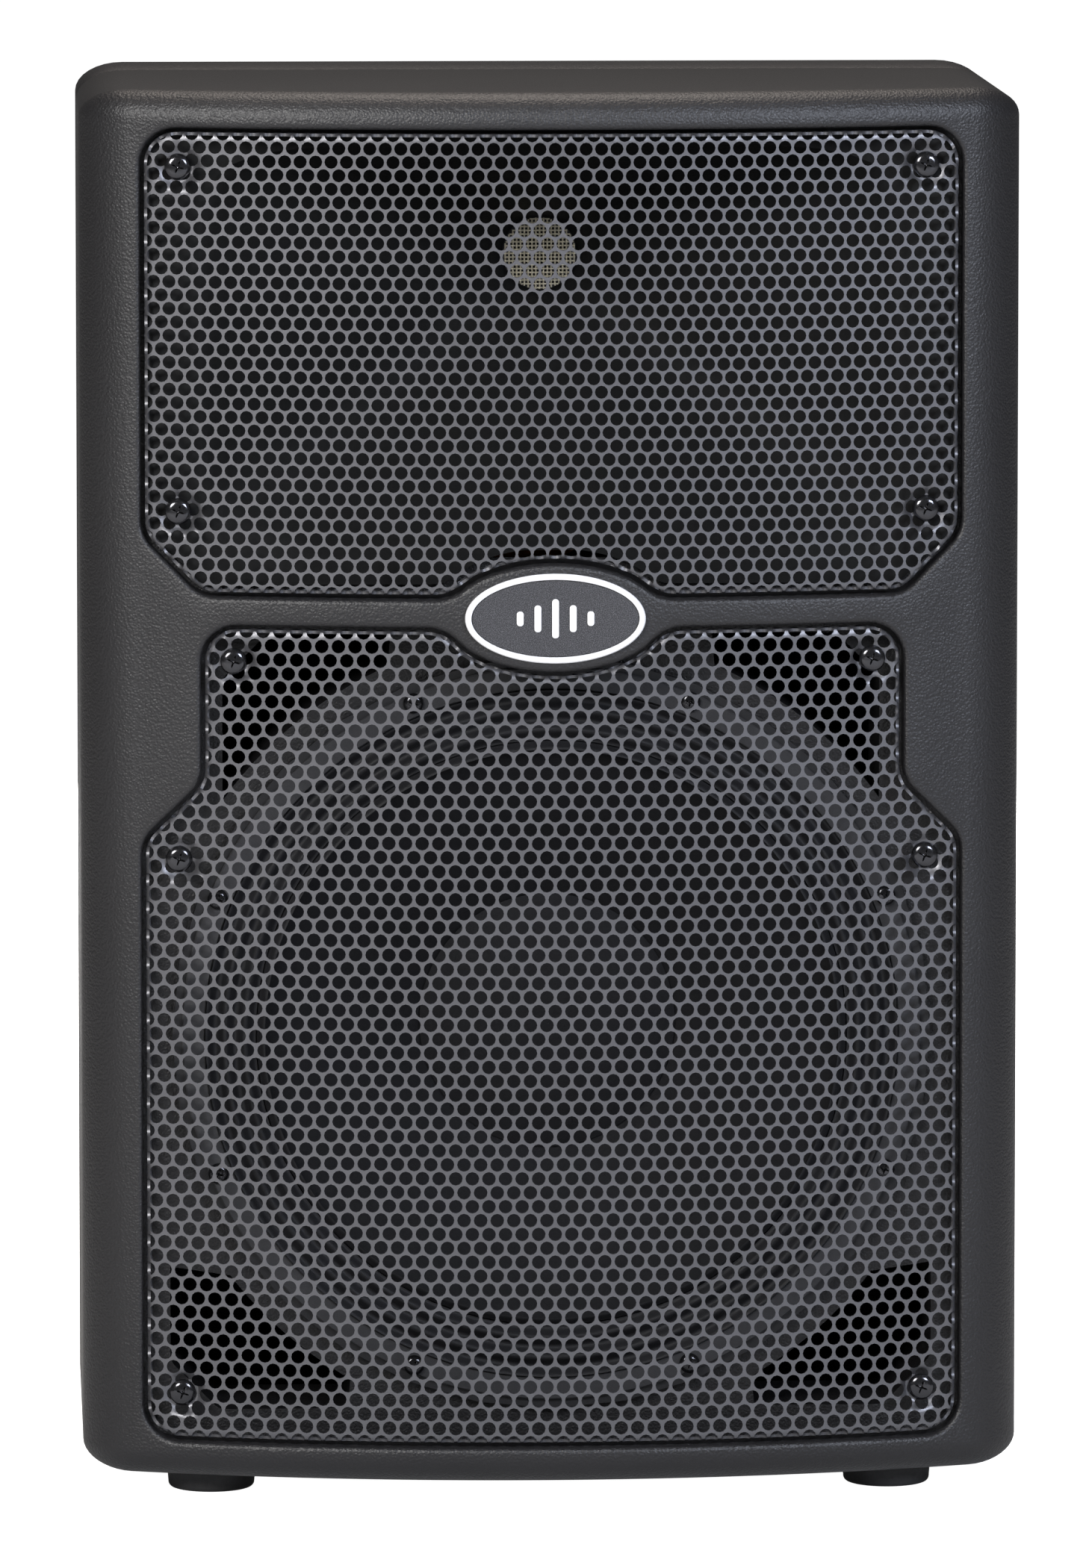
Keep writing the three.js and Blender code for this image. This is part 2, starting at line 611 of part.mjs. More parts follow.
function rearBlock(thinner, front) {
  const outline = alongY(rounded(inset(BODY_OUTLINE, thinner)), front, BACK + 1);
  const plan = alongZ(rounded(inset(REAR_PLAN, thinner)), 0, HEIGHT + 1);
  const side = alongX(rounded(inset(REAR_SIDE, thinner)), -HALF - 1, HALF + 1);
  return outline.intersect(plan).intersect(side);
}

const HANDLE_Y = 112;
const HANDLE_Z = 536;
const HANDLE_R = 11;
const POCKET = { half: 66, front: 80, back: 158, floor: 488 };
const POCKET_WALL = 4;
const POLE_Y = 48;
const POLE_R = 17.8; // takes a 35 mm stand pole
const POLE_DEPTH = 85;
const SOCKET_PLATE = 36; // half of the socket's square base

function rearShell() {
  const flangeBack = REAR_FRONT + FLANGE_THICK;
  const cavity = rearBlock(WALL, REAR_FRONT - 1)
    .subtract(box(-HALF, HALF, 0, flangeBack, 0, HEIGHT))
    .add(alongY(rounded(inset(BODY_OUTLINE, FLANGE)), REAR_FRONT - 1, flangeBack + 1));
  const groove = grooveRing(REAR_FRONT - 1, REAR_FRONT + GROOVE_DEPTH, GROOVE_OUT, GROOVE_IN);
  const recessFloor = PANEL_Y - GAP;
  const tubWall = 6;
  const tub = box(
    -PANEL_HALF - tubWall, PANEL_HALF + tubWall, recessFloor - WALL, BACK,
    PANEL_LOW - tubWall, PANEL_HIGH + tubWall,
  );
  const recess = box(-PANEL_HALF - 1, PANEL_HALF + 1, recessFloor, BACK + 1, PANEL_LOW - 1, PANEL_HIGH + 1);
  const window = box(-PANEL_HALF + 9, PANEL_HALF - 9, PANEL_Y - 20, BACK, PANEL_LOW + 9, PANEL_HIGH - 9);
  const { half, front, back, floor } = POCKET;
  const pocketTub = box(
    -half - POCKET_WALL, half + POCKET_WALL, front - POCKET_WALL, back + POCKET_WALL,
    floor - POCKET_WALL, HEIGHT,
  ).intersect(rearBlock(0, REAR_FRONT));
  const pocket = box(-half, half, front, back, floor, HEIGHT + 1);
  const plate = SOCKET_PLATE + GAP;
  const socketSeat = box(-plate, plate, POLE_Y - plate, POLE_Y + plate, BOTTOM - 1, BOTTOM + 2 + GAP);
  const socketHole = uprightRod(POLE_R + 3 + GAP, BOTTOM - 1, BOTTOM + WALL + 1, 0, POLE_Y, 32);
  return rearBlock(0, REAR_FRONT)
    .subtract(cavity)
    .add(tub)
    .add(pocketTub)
    .subtract(join(groove, recess, window, pocket, socketSeat, socketHole, handleEnds(GAP)));
}

// An upright cylinder from z0 to z1.
function uprightRod(r, z0, z1, x, y, sides) {
  const geometry = new THREE.CylinderGeometry(r, r, z1 - z0, sides).rotateX(Math.PI / 2);
  return solid(geometry.translate(x, y, (z0 + z1) / 2));
}

function crossRod(r, x0, x1) {
  const geometry = new THREE.CylinderGeometry(r, r, x1 - x0, 24).rotateZ(Math.PI / 2);
  return solid(geometry.translate((x0 + x1) / 2, HANDLE_Y, HANDLE_Z));
}

// The ends of the grip, let into blind seats in the pocket's side walls.
const handleEnds = (clearance) =>
  crossRod(7 + clearance, -POCKET.half - 3 - clearance, POCKET.half + 3 + clearance);

const topHandle = () => crossRod(HANDLE_R, -POCKET.half + 1, POCKET.half - 1).add(handleEnds(0));

function poleSocket() {
  const plate = box(-SOCKET_PLATE, SOCKET_PLATE, POLE_Y - SOCKET_PLATE, POLE_Y + SOCKET_PLATE, BOTTOM, BOTTOM + 2);
  const cup = uprightRod(POLE_R + 3, BOTTOM, BOTTOM + POLE_DEPTH + 3, 0, POLE_Y, 32);
  const bore = uprightRod(POLE_R, BOTTOM - 1, BOTTOM + POLE_DEPTH, 0, POLE_Y, 32);
  return plate.add(cup).subtract(bore);
}

const FOOT_R = 18.2;
const FEET = [
  ["foot_front_left", -140, -118],
  ["foot_front_right", 140, -118],
  ["foot_rear_left", -105, 132],
  ["foot_rear_right", 105, 132],
];

function foot(x, y) {
  const profile = [[0, 0], [FOOT_R - 3, 0], [FOOT_R - 0.8, 1], [FOOT_R, 3], [FOOT_R, FOOT_HEIGHT - GAP]];
  const points = [...profile, [0, FOOT_HEIGHT - GAP]].map(([r, z]) => new THREE.Vector2(r, z));
  return solid(new THREE.LatheGeometry(points, 20).rotateX(Math.PI / 2).translate(x, y, 0));
}

// ---------------------------------------------------------------- amplifier
const PANEL_FACE = PANEL_Y + PANEL_THICK;
const JACK_Z = 300;
const KNOB_Z = 250;
const CONTROL_X = 36;
const BUTTON_Z = 276;
const INLET = { x: 32, z: 192 };
const ROCKER = { x: -36, z: 188, pivotY: 150, r: 14.5, wide: 6.5 };
const TAB = { half: 3, low: 14, high: 17 };

const square = (x, z, halfX, halfZ, y0, y1) => box(x - halfX, x + halfX, y0, y1, z - halfZ, z + halfZ);

function ampPanel() {
  const plate = box(-PANEL_HALF, PANEL_HALF, PANEL_Y, PANEL_FACE, PANEL_LOW, PANEL_HIGH);
  const through = [PANEL_Y - 1, PANEL_FACE + 1];
  const perJack = [-CONTROL_X, CONTROL_X].flatMap((x) => [
    rod(13, ...through, x, JACK_Z),
    square(x, JACK_Z + 15.5, TAB.half + 1, 3, ...through),
    rod(KNOB_SHAFT_R + GAP, ...through, x, KNOB_Z, 16),
  ]);
  const others = [
    square(0, BUTTON_Z, BUTTON_HALF + 0.4, BUTTON_HALF + 0.4, ...through),
    box(INLET.x - 14.4, INLET.x + 14.4, ...through, INLET.z - 20.4, INLET.z + 11.4),
    square(ROCKER.x, ROCKER.z, ROCKER.wide + 0.4, ROCKER.r + 0.4, ...through),
  ];
  return plate.subtract(join(...perJack, ...others));
}

function heatsink() {
  const base = PANEL_FACE + GAP;
  const [low, high, half] = [345, 435, 70];
  const fins = 12;
  const finThick = 2;
  const pitch = (2 * half - finThick) / (fins - 1);
  const blades = Array.from({ length: fins }, (_, i) => {
    const x = -half + i * pitch;
    return box(x, x + finThick, base + 1, base + 14, low, high);
  });
  return box(-half, half, base, base + 3, low, high).add(join(...blades));
}

function comboJack(x) {
  const flange = box(x - 13, x + 13, PANEL_FACE + GAP, PANEL_FACE + 2.3, JACK_Z - 15, JACK_Z + 19);
  const body = rod(12.6, 135, PANEL_FACE + 1, x, JACK_Z, 32);
  const socket = rod(9.4, 141, PANEL_FACE + 5, x, JACK_Z, 32);
  const tabZ = JACK_Z + (TAB.low + TAB.high) / 2;
  const tabHole = square(x, tabZ, TAB.half + 0.4, (TAB.high - TAB.low) / 2 + 0.4, 130, PANEL_FACE + 5);
  return flange.add(body).subtract(socket.add(tabHole));
}

const latchTab = (x) => box(x - TAB.half, x + TAB.half, 148, PANEL_FACE + 5, JACK_Z + TAB.low, JACK_Z + TAB.high);

const KNOB_SHAFT_R = 3;

function levelKnob(x) {
  const y0 = PANEL_FACE + 0.5;
  const profile = [
    [0, 146], [KNOB_SHAFT_R, 146], [KNOB_SHAFT_R, y0], [9, y0], [9, y0 + 2], [7.4, y0 + 4],
    [6.8, y0 + 12.4], [6.2, y0 + 13], [0, y0 + 13],
  ];
  const pointer = box(x - 0.6, x + 0.6, y0 + 12.2, y0 + 14, KNOB_Z + 1, KNOB_Z + 8);
  return turned(profile, x, KNOB_Z, 16).subtract(pointer);
}

const BUTTON_HALF = 3.5;
const liftButton = () => square(0, BUTTON_Z, BUTTON_HALF, BUTTON_HALF, 146, PANEL_FACE + 5);

// The rocker's ends are arcs about its pivot, and its face is a shallow V, tipped to one side.
function powerRocker() {
  const { x, z, pivotY, r, wide } = ROCKER;
  const tip = THREE.MathUtils.degToRad(-9);
  const reach = THREE.MathUtils.degToRad(48);
  const back = THREE.MathUtils.degToRad(78);
  const shape = new THREE.Shape();
  shape.moveTo(r * Math.cos(-back), r * Math.sin(-back));
  shape.absarc(0, 0, r, -back, -reach, false);
  shape.lineTo(8.6, 0);
  shape.lineTo(r * Math.cos(reach), r * Math.sin(reach));
  shape.absarc(0, 0, r, reach, back, false);
  shape.closePath();
  const degrees = THREE.MathUtils.radToDeg(tip);
  return alongX(shape, -wide, wide).rotate([degrees, 0, 0]).translate([x, pivotY, z]);
}

function iecInlet() {
  const { x, z } = INLET;
  const flange = box(x - 17, x + 17, PANEL_FACE + GAP, PANEL_FACE + 2.5, z - 23, z + 14);
  const body = box(x - 14, x + 14, 130, PANEL_FACE + 1, z - 20, z + 11);
  const cavity = box(x - 12, x + 12, 139, PANEL_FACE + 5, z - 8, z + 8.5);
  const drawerSlot = box(x - 10.4, x + 10.4, 133, PANEL_FACE + 5, z - 18.4, z - 11.2);
  const pins = [[-7, -2], [0, 2], [7, -2]].map(([dx, dz]) => square(x + dx, z + dz, 1, 2.2, 138, 155));
  return flange.add(body).subtract(cavity.add(drawerSlot)).add(join(...pins));
}

function fuseDrawer() {
  const { x, z } = INLET;
  const body = box(x - 10, x + 10, 136, PANEL_FACE + 2, z - 18, z - 11.6);
  const lip = box(x - 6, x + 6, PANEL_FACE + 1, PANEL_FACE + 4.5, z - 18, z - 15.8);
  return body.add(lip);
}

function ampBoard() {
  const board = box(-68, 68, 122, 123.6, 165, 345);
  const posts = [[-64, 170], [64, 170], [-64, 340], [64, 340]].map(([x, z]) =>
    rod(3.5, 123, PANEL_Y - GAP, x, z, SMALL_SIDES),
  );
  const capacitors = [-45, -20, 5].map((x) => rod(11, 92, 123, x, 200, 12));
  const coil = ring(8, 17, 108, 123, 40, 260, 16);
  const chips = [-40, 0].map((x) => box(x - 10, x + 10, 118, 123, 290, 310));
  return join(board, ...posts, ...capacitors, coil, ...chips);
}

const powerTransformer = () => ring(12, 36, 114, PANEL_Y - GAP, 0, 395, 28);

// ---------------------------------------------------------------- materials and assembly
const FINISHES = {
  shell: ["#414146", 0.62, 0],
  grille: ["#6c6d74", 0.42, 0.3],
  screw: ["#141416", 0.3, 0.7],
  rim: ["#e9e9ea", 0.35, 0],
  badge: ["#4b4c51", 0.45, 0.1],
  horn: ["#161618", 0.5, 0],
  screen: ["#8f8871", 0.45, 0.8],
  driver: ["#3a3b3e", 0.45, 0.6],
  diaphragm: ["#a9a9ac", 0.3, 1],
  basket: ["#2a2b2d", 0.5, 0.4],
  cone: ["#202022", 0.85, 0],
  cloth: ["#2c2c2e", 0.9, 0],
  gasket: ["#8b8b8e", 0.8, 0],
  copper: ["#a8643a", 0.4, 0.9],
  plated: ["#b4b6b8", 0.35, 0.9],
  ferrite: ["#2d2d2f", 0.7, 0.1],
  rubber: ["#1c1c1d", 0.85, 0],
  panel: ["#232426", 0.55, 0.4],
  aluminium: ["#37383b", 0.45, 0.7],
  plastic: ["#151516", 0.4, 0],
  board: ["#1f4a34", 0.6, 0],
  knob: ["#2a2a2c", 0.5, 0],
};

const cabinet = new THREE.Group();
cabinet.name = "pa_speaker_cabinet";

function part(name, made, finish) {
  const [color, roughness, metalness] = FINISHES[finish];
  const material = new THREE.MeshStandardMaterial({ color, roughness, metalness });
  const mesh = new THREE.Mesh(geometryOf(made), material);
  mesh.name = name;
  cabinet.add(mesh);
}

part("front_shell", frontShell(), "shell");
part("rear_shell", rearShell(), "shell");
part("shell_gasket", shellGasket(), "rubber");
part("upper_grille", grille(UPPER_OUTLINE, GRILLE_SCREWS.filter(({ upper }) => upper)), "grille");
part("lower_grille", grille(LOWER_OUTLINE, GRILLE_SCREWS.filter(({ upper }) => !upper)), "grille");
GRILLE_SCREWS.forEach(({ x, z }, i) => {
  part(`grille_screw_${i + 1}`, panScrew(x, z, seatY(x)), "screw");
});
part("badge_rim", badgeRim(), "rim");
part("badge_plate", badgePlate(), "badge");

part("horn_waveguide", hornWaveguide(), "horn");
part("throat_screen", throatScreen(), "screen");
part("compression_driver_body", compressionDriverBody(), "driver");
part("compression_driver_cap", compressionDriverCap(), "driver");
part("hf_diaphragm", hfDiaphragm(), "diaphragm");

part("woofer_basket", wooferBasket(), "basket");
part("woofer_cone", wooferCone(), "cone");
part("woofer_dust_cap", dustCap(), "cone");
part("woofer_surround", wooferSurround(), "cloth");
part("woofer_spider", wooferSpider(), "cloth");
part("woofer_gasket_ring", wooferGasket(), "gasket");
part("woofer_voice_coil", voiceCoil(), "copper");
part("woofer_top_plate", topPlate(), "plated");
part("woofer_magnet", magnet(), "ferrite");
part("woofer_back_plate", backPlate(), "plated");
wooferBoltPlaces().forEach(([x, z], i) => {
  part(`woofer_screw_${i + 1}`, panScrew(x, z, GASKET_FRONT, 4.2, 11), "screw");
});

part("top_handle", topHandle(), "rubber");
part("pole_socket", poleSocket(), "plastic");
FEET.forEach(([name, x, y]) => part(name, foot(x, y), "rubber"));

part("amp_panel", ampPanel(), "panel");
part("amp_heatsink", heatsink(), "aluminium");
part("amp_board", ampBoard(), "board");
part("power_transformer", powerTransformer(), "copper");
[-CONTROL_X, CONTROL_X].forEach((x, i) => {
  part(`combo_jack_${i + 1}`, comboJack(x), "plastic");
  part(`latch_tab_${i + 1}`, latchTab(x), "plated");
  part(`level_knob_${i + 1}`, levelKnob(x), "knob");
});
part("ground_lift_button", liftButton(), "knob");
part("power_rocker", powerRocker(), "plastic");
part("iec_inlet", iecInlet(), "plastic");
part("fuse_drawer", fuseDrawer(), "plastic");

export default cabinet;
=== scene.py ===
"""The looks of a powered two-way loudspeaker cabinet with a bowed front, in metres, in the CAD's frame."""

import math
from functools import cache
from itertools import product

import bmesh
import bpy
import numpy as np
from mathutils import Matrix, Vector
from mathutils.geometry import delaunay_2d_cdt


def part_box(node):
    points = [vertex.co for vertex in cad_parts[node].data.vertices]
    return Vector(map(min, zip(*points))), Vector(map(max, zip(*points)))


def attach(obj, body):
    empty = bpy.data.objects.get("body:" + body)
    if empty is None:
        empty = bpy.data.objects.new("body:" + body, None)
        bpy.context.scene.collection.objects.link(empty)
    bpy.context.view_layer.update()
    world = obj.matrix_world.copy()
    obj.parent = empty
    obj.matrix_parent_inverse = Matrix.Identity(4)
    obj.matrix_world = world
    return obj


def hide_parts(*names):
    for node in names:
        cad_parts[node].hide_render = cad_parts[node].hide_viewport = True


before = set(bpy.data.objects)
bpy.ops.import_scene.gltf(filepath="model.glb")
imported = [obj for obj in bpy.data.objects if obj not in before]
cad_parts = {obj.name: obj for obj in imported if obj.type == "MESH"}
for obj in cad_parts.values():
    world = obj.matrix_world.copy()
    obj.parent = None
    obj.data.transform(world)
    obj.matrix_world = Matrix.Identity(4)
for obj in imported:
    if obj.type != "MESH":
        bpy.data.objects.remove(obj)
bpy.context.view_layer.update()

ROOT = "cabinet"

# ---- sizes, from the frame and the CAD model's design
SHELL_LOW, SHELL_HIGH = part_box("front_shell")
REAR_LOW, REAR_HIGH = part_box("rear_shell")
BADGE_LOW, BADGE_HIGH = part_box("badge_rim")
HALF = SHELL_HIGH.x
TOP = SHELL_HIGH.z
BOTTOM = SHELL_LOW.z
APEX_Y = SHELL_LOW.y
SEAM_Y = SHELL_HIGH.y
BACK = REAR_HIGH.y
BOW_RADIUS = 0.525
BAFFLE_Y = -0.136

ROLL_SIDE = 0.020  # breadth of the rolled edge at the sides, the top and the bottom
ROLL_TOP = 0.012
ROLL_BOTTOM = 0.0118
ROLL_DEPTH_SIDE = 0.016

OPENING_HALF = 0.1683
WAIST_HALF = 0.144
CHAMFER = OPENING_HALF - WAIST_HALF
UPPER_TOP = 0.565
UPPER_BOTTOM = 0.3735
LOWER_TOP = 0.362
LOWER_SHOULDER = 0.297
LOWER_BOTTOM = 0.024
OPENING_EDGE = 0.0022  # rounded edge of the grille openings
CORNER_R = 0.015

BADGE_Z = (BADGE_LOW.z + BADGE_HIGH.z) / 2
BADGE_A = BADGE_HIGH.x
BADGE_B = (BADGE_HIGH.z - BADGE_LOW.z) / 2
BADGE_BOSS_A = 0.0438
BADGE_BOSS_B = 0.0222
BADGE_FILLET = 0.018

SHEET = 0.0012
GRILLE_GAP = 0.0019
GRILLE_RECESS = 0.0015
FOLD_RADIUS = 0.0024
FOLD_LEG = 0.0045
UPPER_HOLES = (0.00626, 0.00550, 0.00270)  # pitch across, distance between rows and radius of the holes
LOWER_HOLES = (0.00678, 0.00575, 0.00282)
SEAT_RIM = 0.0098  # radii of the dimple round a grille screw, at its rim and its flat floor
SEAT_FLOOR = 0.0062

SEAM_EDGE = 0.0009  # bevel of both shells where they meet
HORN_HALF = 0.145
HORN_LOW = 0.391
HORN_HIGH = 0.557
HORN_MARGIN = 0.0035
WOOFER_Z = 0.191
JACK_Z = 0.300
HEAD_HEIGHT = 0.0024
PRINT = 0.00006  # thickness of the print on the panel


def skin_y(x):
    """The y of the bowed front at x."""
    return APEX_Y + BOW_RADIUS - np.sqrt(BOW_RADIUS**2 - np.square(x))


def middle_of(node):
    """The middle of a CAD node's box."""
    low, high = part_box(node)
    return (low.x + high.x) / 2, (low.y + high.y) / 2, (low.z + high.z) / 2


# ---- meshes
class Surface:
    """Points and faces that are gathered into one mesh object."""

    def __init__(self):
        self.points = []
        self.faces = []
        self.count = 0

    def add(self, points, faces):
        points = np.asarray(points, float).reshape(-1, 3)
        self.points.append(points)
        self.faces.extend([tuple(int(i) + self.count for i in face) for face in faces])
        self.count += len(points)

    def rows(self, rows):
        """Quads between closed rows of equally many points."""
        rows = np.asarray(rows, float)
        tall, wide = rows.shape[:2]
        faces = []
        for r in range(tall - 1):
            for c in range(wide):
                d = (c + 1) % wide
                faces.append((r * wide + c, r * wide + d, (r + 1) * wide + d, (r + 1) * wide + c))
        self.add(rows, faces)

    def cap(self, ring):
        """One flat face across a ring."""
        self.add(ring, [tuple(range(len(ring)))])

    def piece(self, name, material, body=ROOT, slot=None, replaces=(), sharp=35, weld=1e-6):
        mesh = bpy.data.meshes.new(name)
        mesh.from_pydata(np.concatenate(self.points).tolist(), [], self.faces)
        return finished(mesh, name, material, body, replaces, sharp, weld)


def finished(mesh, name, material, body, replaces, sharp, weld=1e-6):
    """Welds a mesh, turns its faces the same way, shades it and hangs it on its body."""
    work = bmesh.new()
    work.from_mesh(mesh)
    bmesh.ops.remove_doubles(work, verts=work.verts, dist=weld)
    bmesh.ops.recalc_face_normals(work, faces=work.faces)
    work.to_mesh(mesh)
    work.free()
    obj = bpy.data.objects.new(name, mesh)
    bpy.context.scene.collection.objects.link(obj)
    mesh.materials.append(material)
    shaded(mesh, sharp)
    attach(obj, body)
    if replaces:
        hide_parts(*replaces)
    return obj


def shaded(mesh, sharp):
    """Smooth shading that breaks at edges sharper than an angle in degrees."""
    mesh.shade_smooth()
    mesh.set_sharp_from_angle(angle=math.radians(sharp))


def turn(sides):
    """Angles evenly round a circle."""
    return np.arange(sides) * 2 * np.pi / sides


def unit_ring(sides):
    """A circle of radius 1 about the front-to-back axis."""
    angles = turn(sides)
    return np.stack([np.sin(angles), np.zeros(sides), np.cos(angles)], 1)


def woofer_rows(profile):
    """Rows of points turned about the woofer's axis. The profile's points are (radius, y)."""
    ring = unit_ring(128)
    return np.array([np.array([0, y, WOOFER_Z]) + r * ring for r, y in profile])


def arc(x, y, radius, start, end, steps):
    """Points on an arc, from start to end in degrees."""
    angles = np.radians(np.linspace(start, end, steps + 1))
    return np.stack([x + radius * np.cos(angles), y + radius * np.sin(angles)], 1)


def circle(x, z, r, sides=96):
    angles = turn(sides)
    return np.stack([x + r * np.cos(angles), z + r * np.sin(angles)], 1)


# ---- outlines in x and z
def rounded_path(corners, steps=8):
    """An open path through (x, z, radius) corners, each but the ends rounded by a tangent arc."""
    points = [corners[0][:2]]
    for before, (x, z, r), after in zip(corners, corners[1:], corners[2:]):
        corner = np.array([x, z])
        a = np.array(before[:2]) - corner
        b = np.array(after[:2]) - corner
        a /= np.linalg.norm(a)
        b /= np.linalg.norm(b)
        half = math.acos(np.clip(a @ b, -1, 1)) / 2
        centre = corner + (a + b) / np.linalg.norm(a + b) * r / math.sin(half)
        start = corner + a * r / math.tan(half) - centre
        end = corner + b * r / math.tan(half) - centre
        swing = math.atan2(start[0] * end[1] - start[1] * end[0], start @ end)
        for share in np.linspace(0, 1, steps + 1):
            c, s = math.cos(swing * share), math.sin(swing * share)
            points.append(centre + [c * start[0] - s * start[1], s * start[0] + c * start[1]])
    points.append(corners[-1][:2])
    return np.array(points)


def badge_side(line_z, steps=14):
    """Right half of an opening's edge round the badge: its oval, then a fillet down to the straight edge."""
    side = 1 if line_z > BADGE_Z else -1
    level = abs(line_z - BADGE_Z) + BADGE_FILLET
    t = np.linspace(0, np.pi / 2, 2000)
    oval = np.stack([BADGE_BOSS_A * np.sin(t), BADGE_BOSS_B * np.cos(t)], 1)
    normal = np.stack([BADGE_BOSS_B * np.sin(t), BADGE_BOSS_A * np.cos(t)], 1)
    normal /= np.linalg.norm(normal, axis=1)[:, None]
    centres = oval + BADGE_FILLET * normal
    touch = int(np.argmin(np.abs(centres[:, 1] - level)))
    on_oval = oval[np.linspace(0, touch, steps).astype(int)]
    start = math.degrees(math.atan2(-normal[touch, 1], -normal[touch, 0]))
    fillet = arc(*centres[touch], BADGE_FILLET, start, -90, steps // 2)
    half = np.concatenate([on_oval, fillet[1:]])
    return half * [1, side] + [0, BADGE_Z]


def subdivided(loop, step):
    """A closed loop with its long sides cut into stretches of at most step."""
    points = []
    for a, b in zip(loop, np.roll(loop, -1, axis=0)):
        count = max(1, math.ceil(np.linalg.norm(b - a) / step))
        points.extend(a + (b - a) * k / count for k in range(count))
    return np.array(points)


def without_repeats(loop):
    keep = np.linalg.norm(loop - np.roll(loop, 1, axis=0), axis=1) > 1e-7
    return loop[keep]


def rounded_loop(x0, x1, z0, z1, r):
    """A counter-clockwise rectangle with rounded corners."""
    middle = (x0 + x1) / 2
    right = rounded_path([(middle, z0, 0), (x1, z0, r), (x1, z1, r), (middle, z1, 0)])
    left = right[::-1] * [-1, 1] + [2 * middle, 0]
    return without_repeats(np.concatenate([right, left]))


def mirrored_loop(right):
    """A counter-clockwise loop from its right half, listed upwards."""
    left = right[::-1] * [-1, 1]
    return subdivided(without_repeats(np.concatenate([right, left])), 0.006)


def upper_opening():
    start = badge_side(UPPER_BOTTOM)
    corners = rounded_path([
        (start[-1][0], UPPER_BOTTOM, 0),
        (WAIST_HALF, UPPER_BOTTOM, CORNER_R),
        (OPENING_HALF, UPPER_BOTTOM + CHAMFER, CORNER_R),
        (OPENING_HALF, UPPER_TOP, CORNER_R),
        (0, UPPER_TOP, 0),
    ])
    return mirrored_loop(np.concatenate([start, corners[1:]]))


def lower_opening():
    start = badge_side(LOWER_TOP)
    corners = rounded_path([
        (0, LOWER_BOTTOM, 0),
        (OPENING_HALF, LOWER_BOTTOM, CORNER_R),
        (OPENING_HALF, LOWER_SHOULDER - CHAMFER, CORNER_R),
        (WAIST_HALF, LOWER_SHOULDER, CORNER_R),
        (WAIST_HALF, LOWER_TOP, CORNER_R),
        (start[-1][0], LOWER_TOP, 0),
    ])
    return mirrored_loop(np.concatenate([corners, start[::-1][1:]]))


def offset(loop, distance):
    """A counter-clockwise loop moved inwards by a distance, or outwards by a negative one."""
    ahead = np.roll(loop, -1, axis=0) - loop
    behind = loop - np.roll(loop, 1, axis=0)
    ahead /= np.linalg.norm(ahead, axis=1)[:, None]
    behind /= np.linalg.norm(behind, axis=1)[:, None]
    along = ahead + behind
    along /= np.linalg.norm(along, axis=1)[:, None]
    inward = np.stack([-along[:, 1], along[:, 0]], 1)
    stretch = 1 / np.clip((along * ahead).sum(1), 0.5, 1)
    return loop + inward * (distance * stretch)[:, None]


def nearest(points, loop):
    """For each point: how far it lies inside a closed loop, the nearest point on it and the outward normal."""
    a = loop
    b = np.roll(loop, -1, axis=0)
    side = b - a
    length2 = np.maximum((side**2).sum(1), 1e-18)
    distance = np.empty(len(points))
    foot = np.empty((len(points), 2))
    chunk = 4000
    for first in range(0, len(points), chunk):
        p = points[first:first + chunk]
        rel = p[:, None] - a[None]
        t = np.clip((rel * side[None]).sum(2) / length2, 0, 1)
        gap = rel - t[..., None] * side[None]
        d2 = (gap**2).sum(2)
        best = d2.argmin(1)
        rows = np.arange(len(p))
        foot[first:first + chunk] = p - gap[rows, best]
        crossing = (a[None, :, 1] > p[:, None, 1]) != (b[None, :, 1] > p[:, None, 1])
        rise = np.where(side[:, 1] == 0, 1e-12, side[:, 1])
        hit = a[:, 0] + (p[:, None, 1] - a[None, :, 1]) * side[:, 0] / rise
        inside = (crossing & (p[:, None, 0] < hit)).sum(1) % 2 == 1
        distance[first:first + chunk] = np.sqrt(d2[rows, best]) * np.where(inside, 1, -1)
    outward = (foot - points) * np.sign(distance)[:, None]
    outward /= np.maximum(np.linalg.norm(outward, axis=1), 1e-12)[:, None]
    return distance, foot, outward


def lifted(loop, y):
    """A loop in x and z as points in space, at a y or at one y for each point."""
    return np.stack([loop[:, 0], np.broadcast_to(y, len(loop)), loop[:, 1]], 1)


def on_skin(loop, depth=0.0):
    return lifted(loop, skin_y(loop[:, 0]) + depth)


def between(points, outer, holes):
    """Which points lie inside a loop and outside every hole in it."""
    inside = nearest(points, outer)[0] > 0
    for hole in holes:
        inside &= nearest(points, hole)[0] < 0
    return inside


def filled(outer, holes, place, spacing=0.007):
    """Triangles between a loop and its holes, with a grid of points inside. place puts them in space."""
    loops = [outer, *holes]
    points = [Vector(p) for loop in loops for p in loop]
    edges = []
    first = 0
    for loop in loops:
        count = len(loop)
        edges.extend((first + i, first + (i + 1) % count) for i in range(count))
        first += count
    low = outer.min(0)
    high = outer.max(0)
    grid = np.stack(np.meshgrid(np.arange(low[0], high[0], spacing), np.arange(low[1], high[1], spacing)), -1)
    grid = grid.reshape(-1, 2)
    clear = spacing * 0.6
    far = np.ones(len(grid), bool)
    for loop in loops:
        distance, _, _ = nearest(grid, loop)
        far &= np.abs(distance) > clear
    far &= between(grid, outer, holes)
    points.extend(Vector(p) for p in grid[far])
    verts, _, faces, *_ = delaunay_2d_cdt(points, edges, [], 0, 1e-7)
    flat = np.array([[v[0], v[1]] for v in verts])
    middles = np.array([flat[list(face)].mean(0) for face in faces])
    inside = between(middles, outer, holes)
    return place(flat), [face for face, ok in zip(faces, inside) if ok]


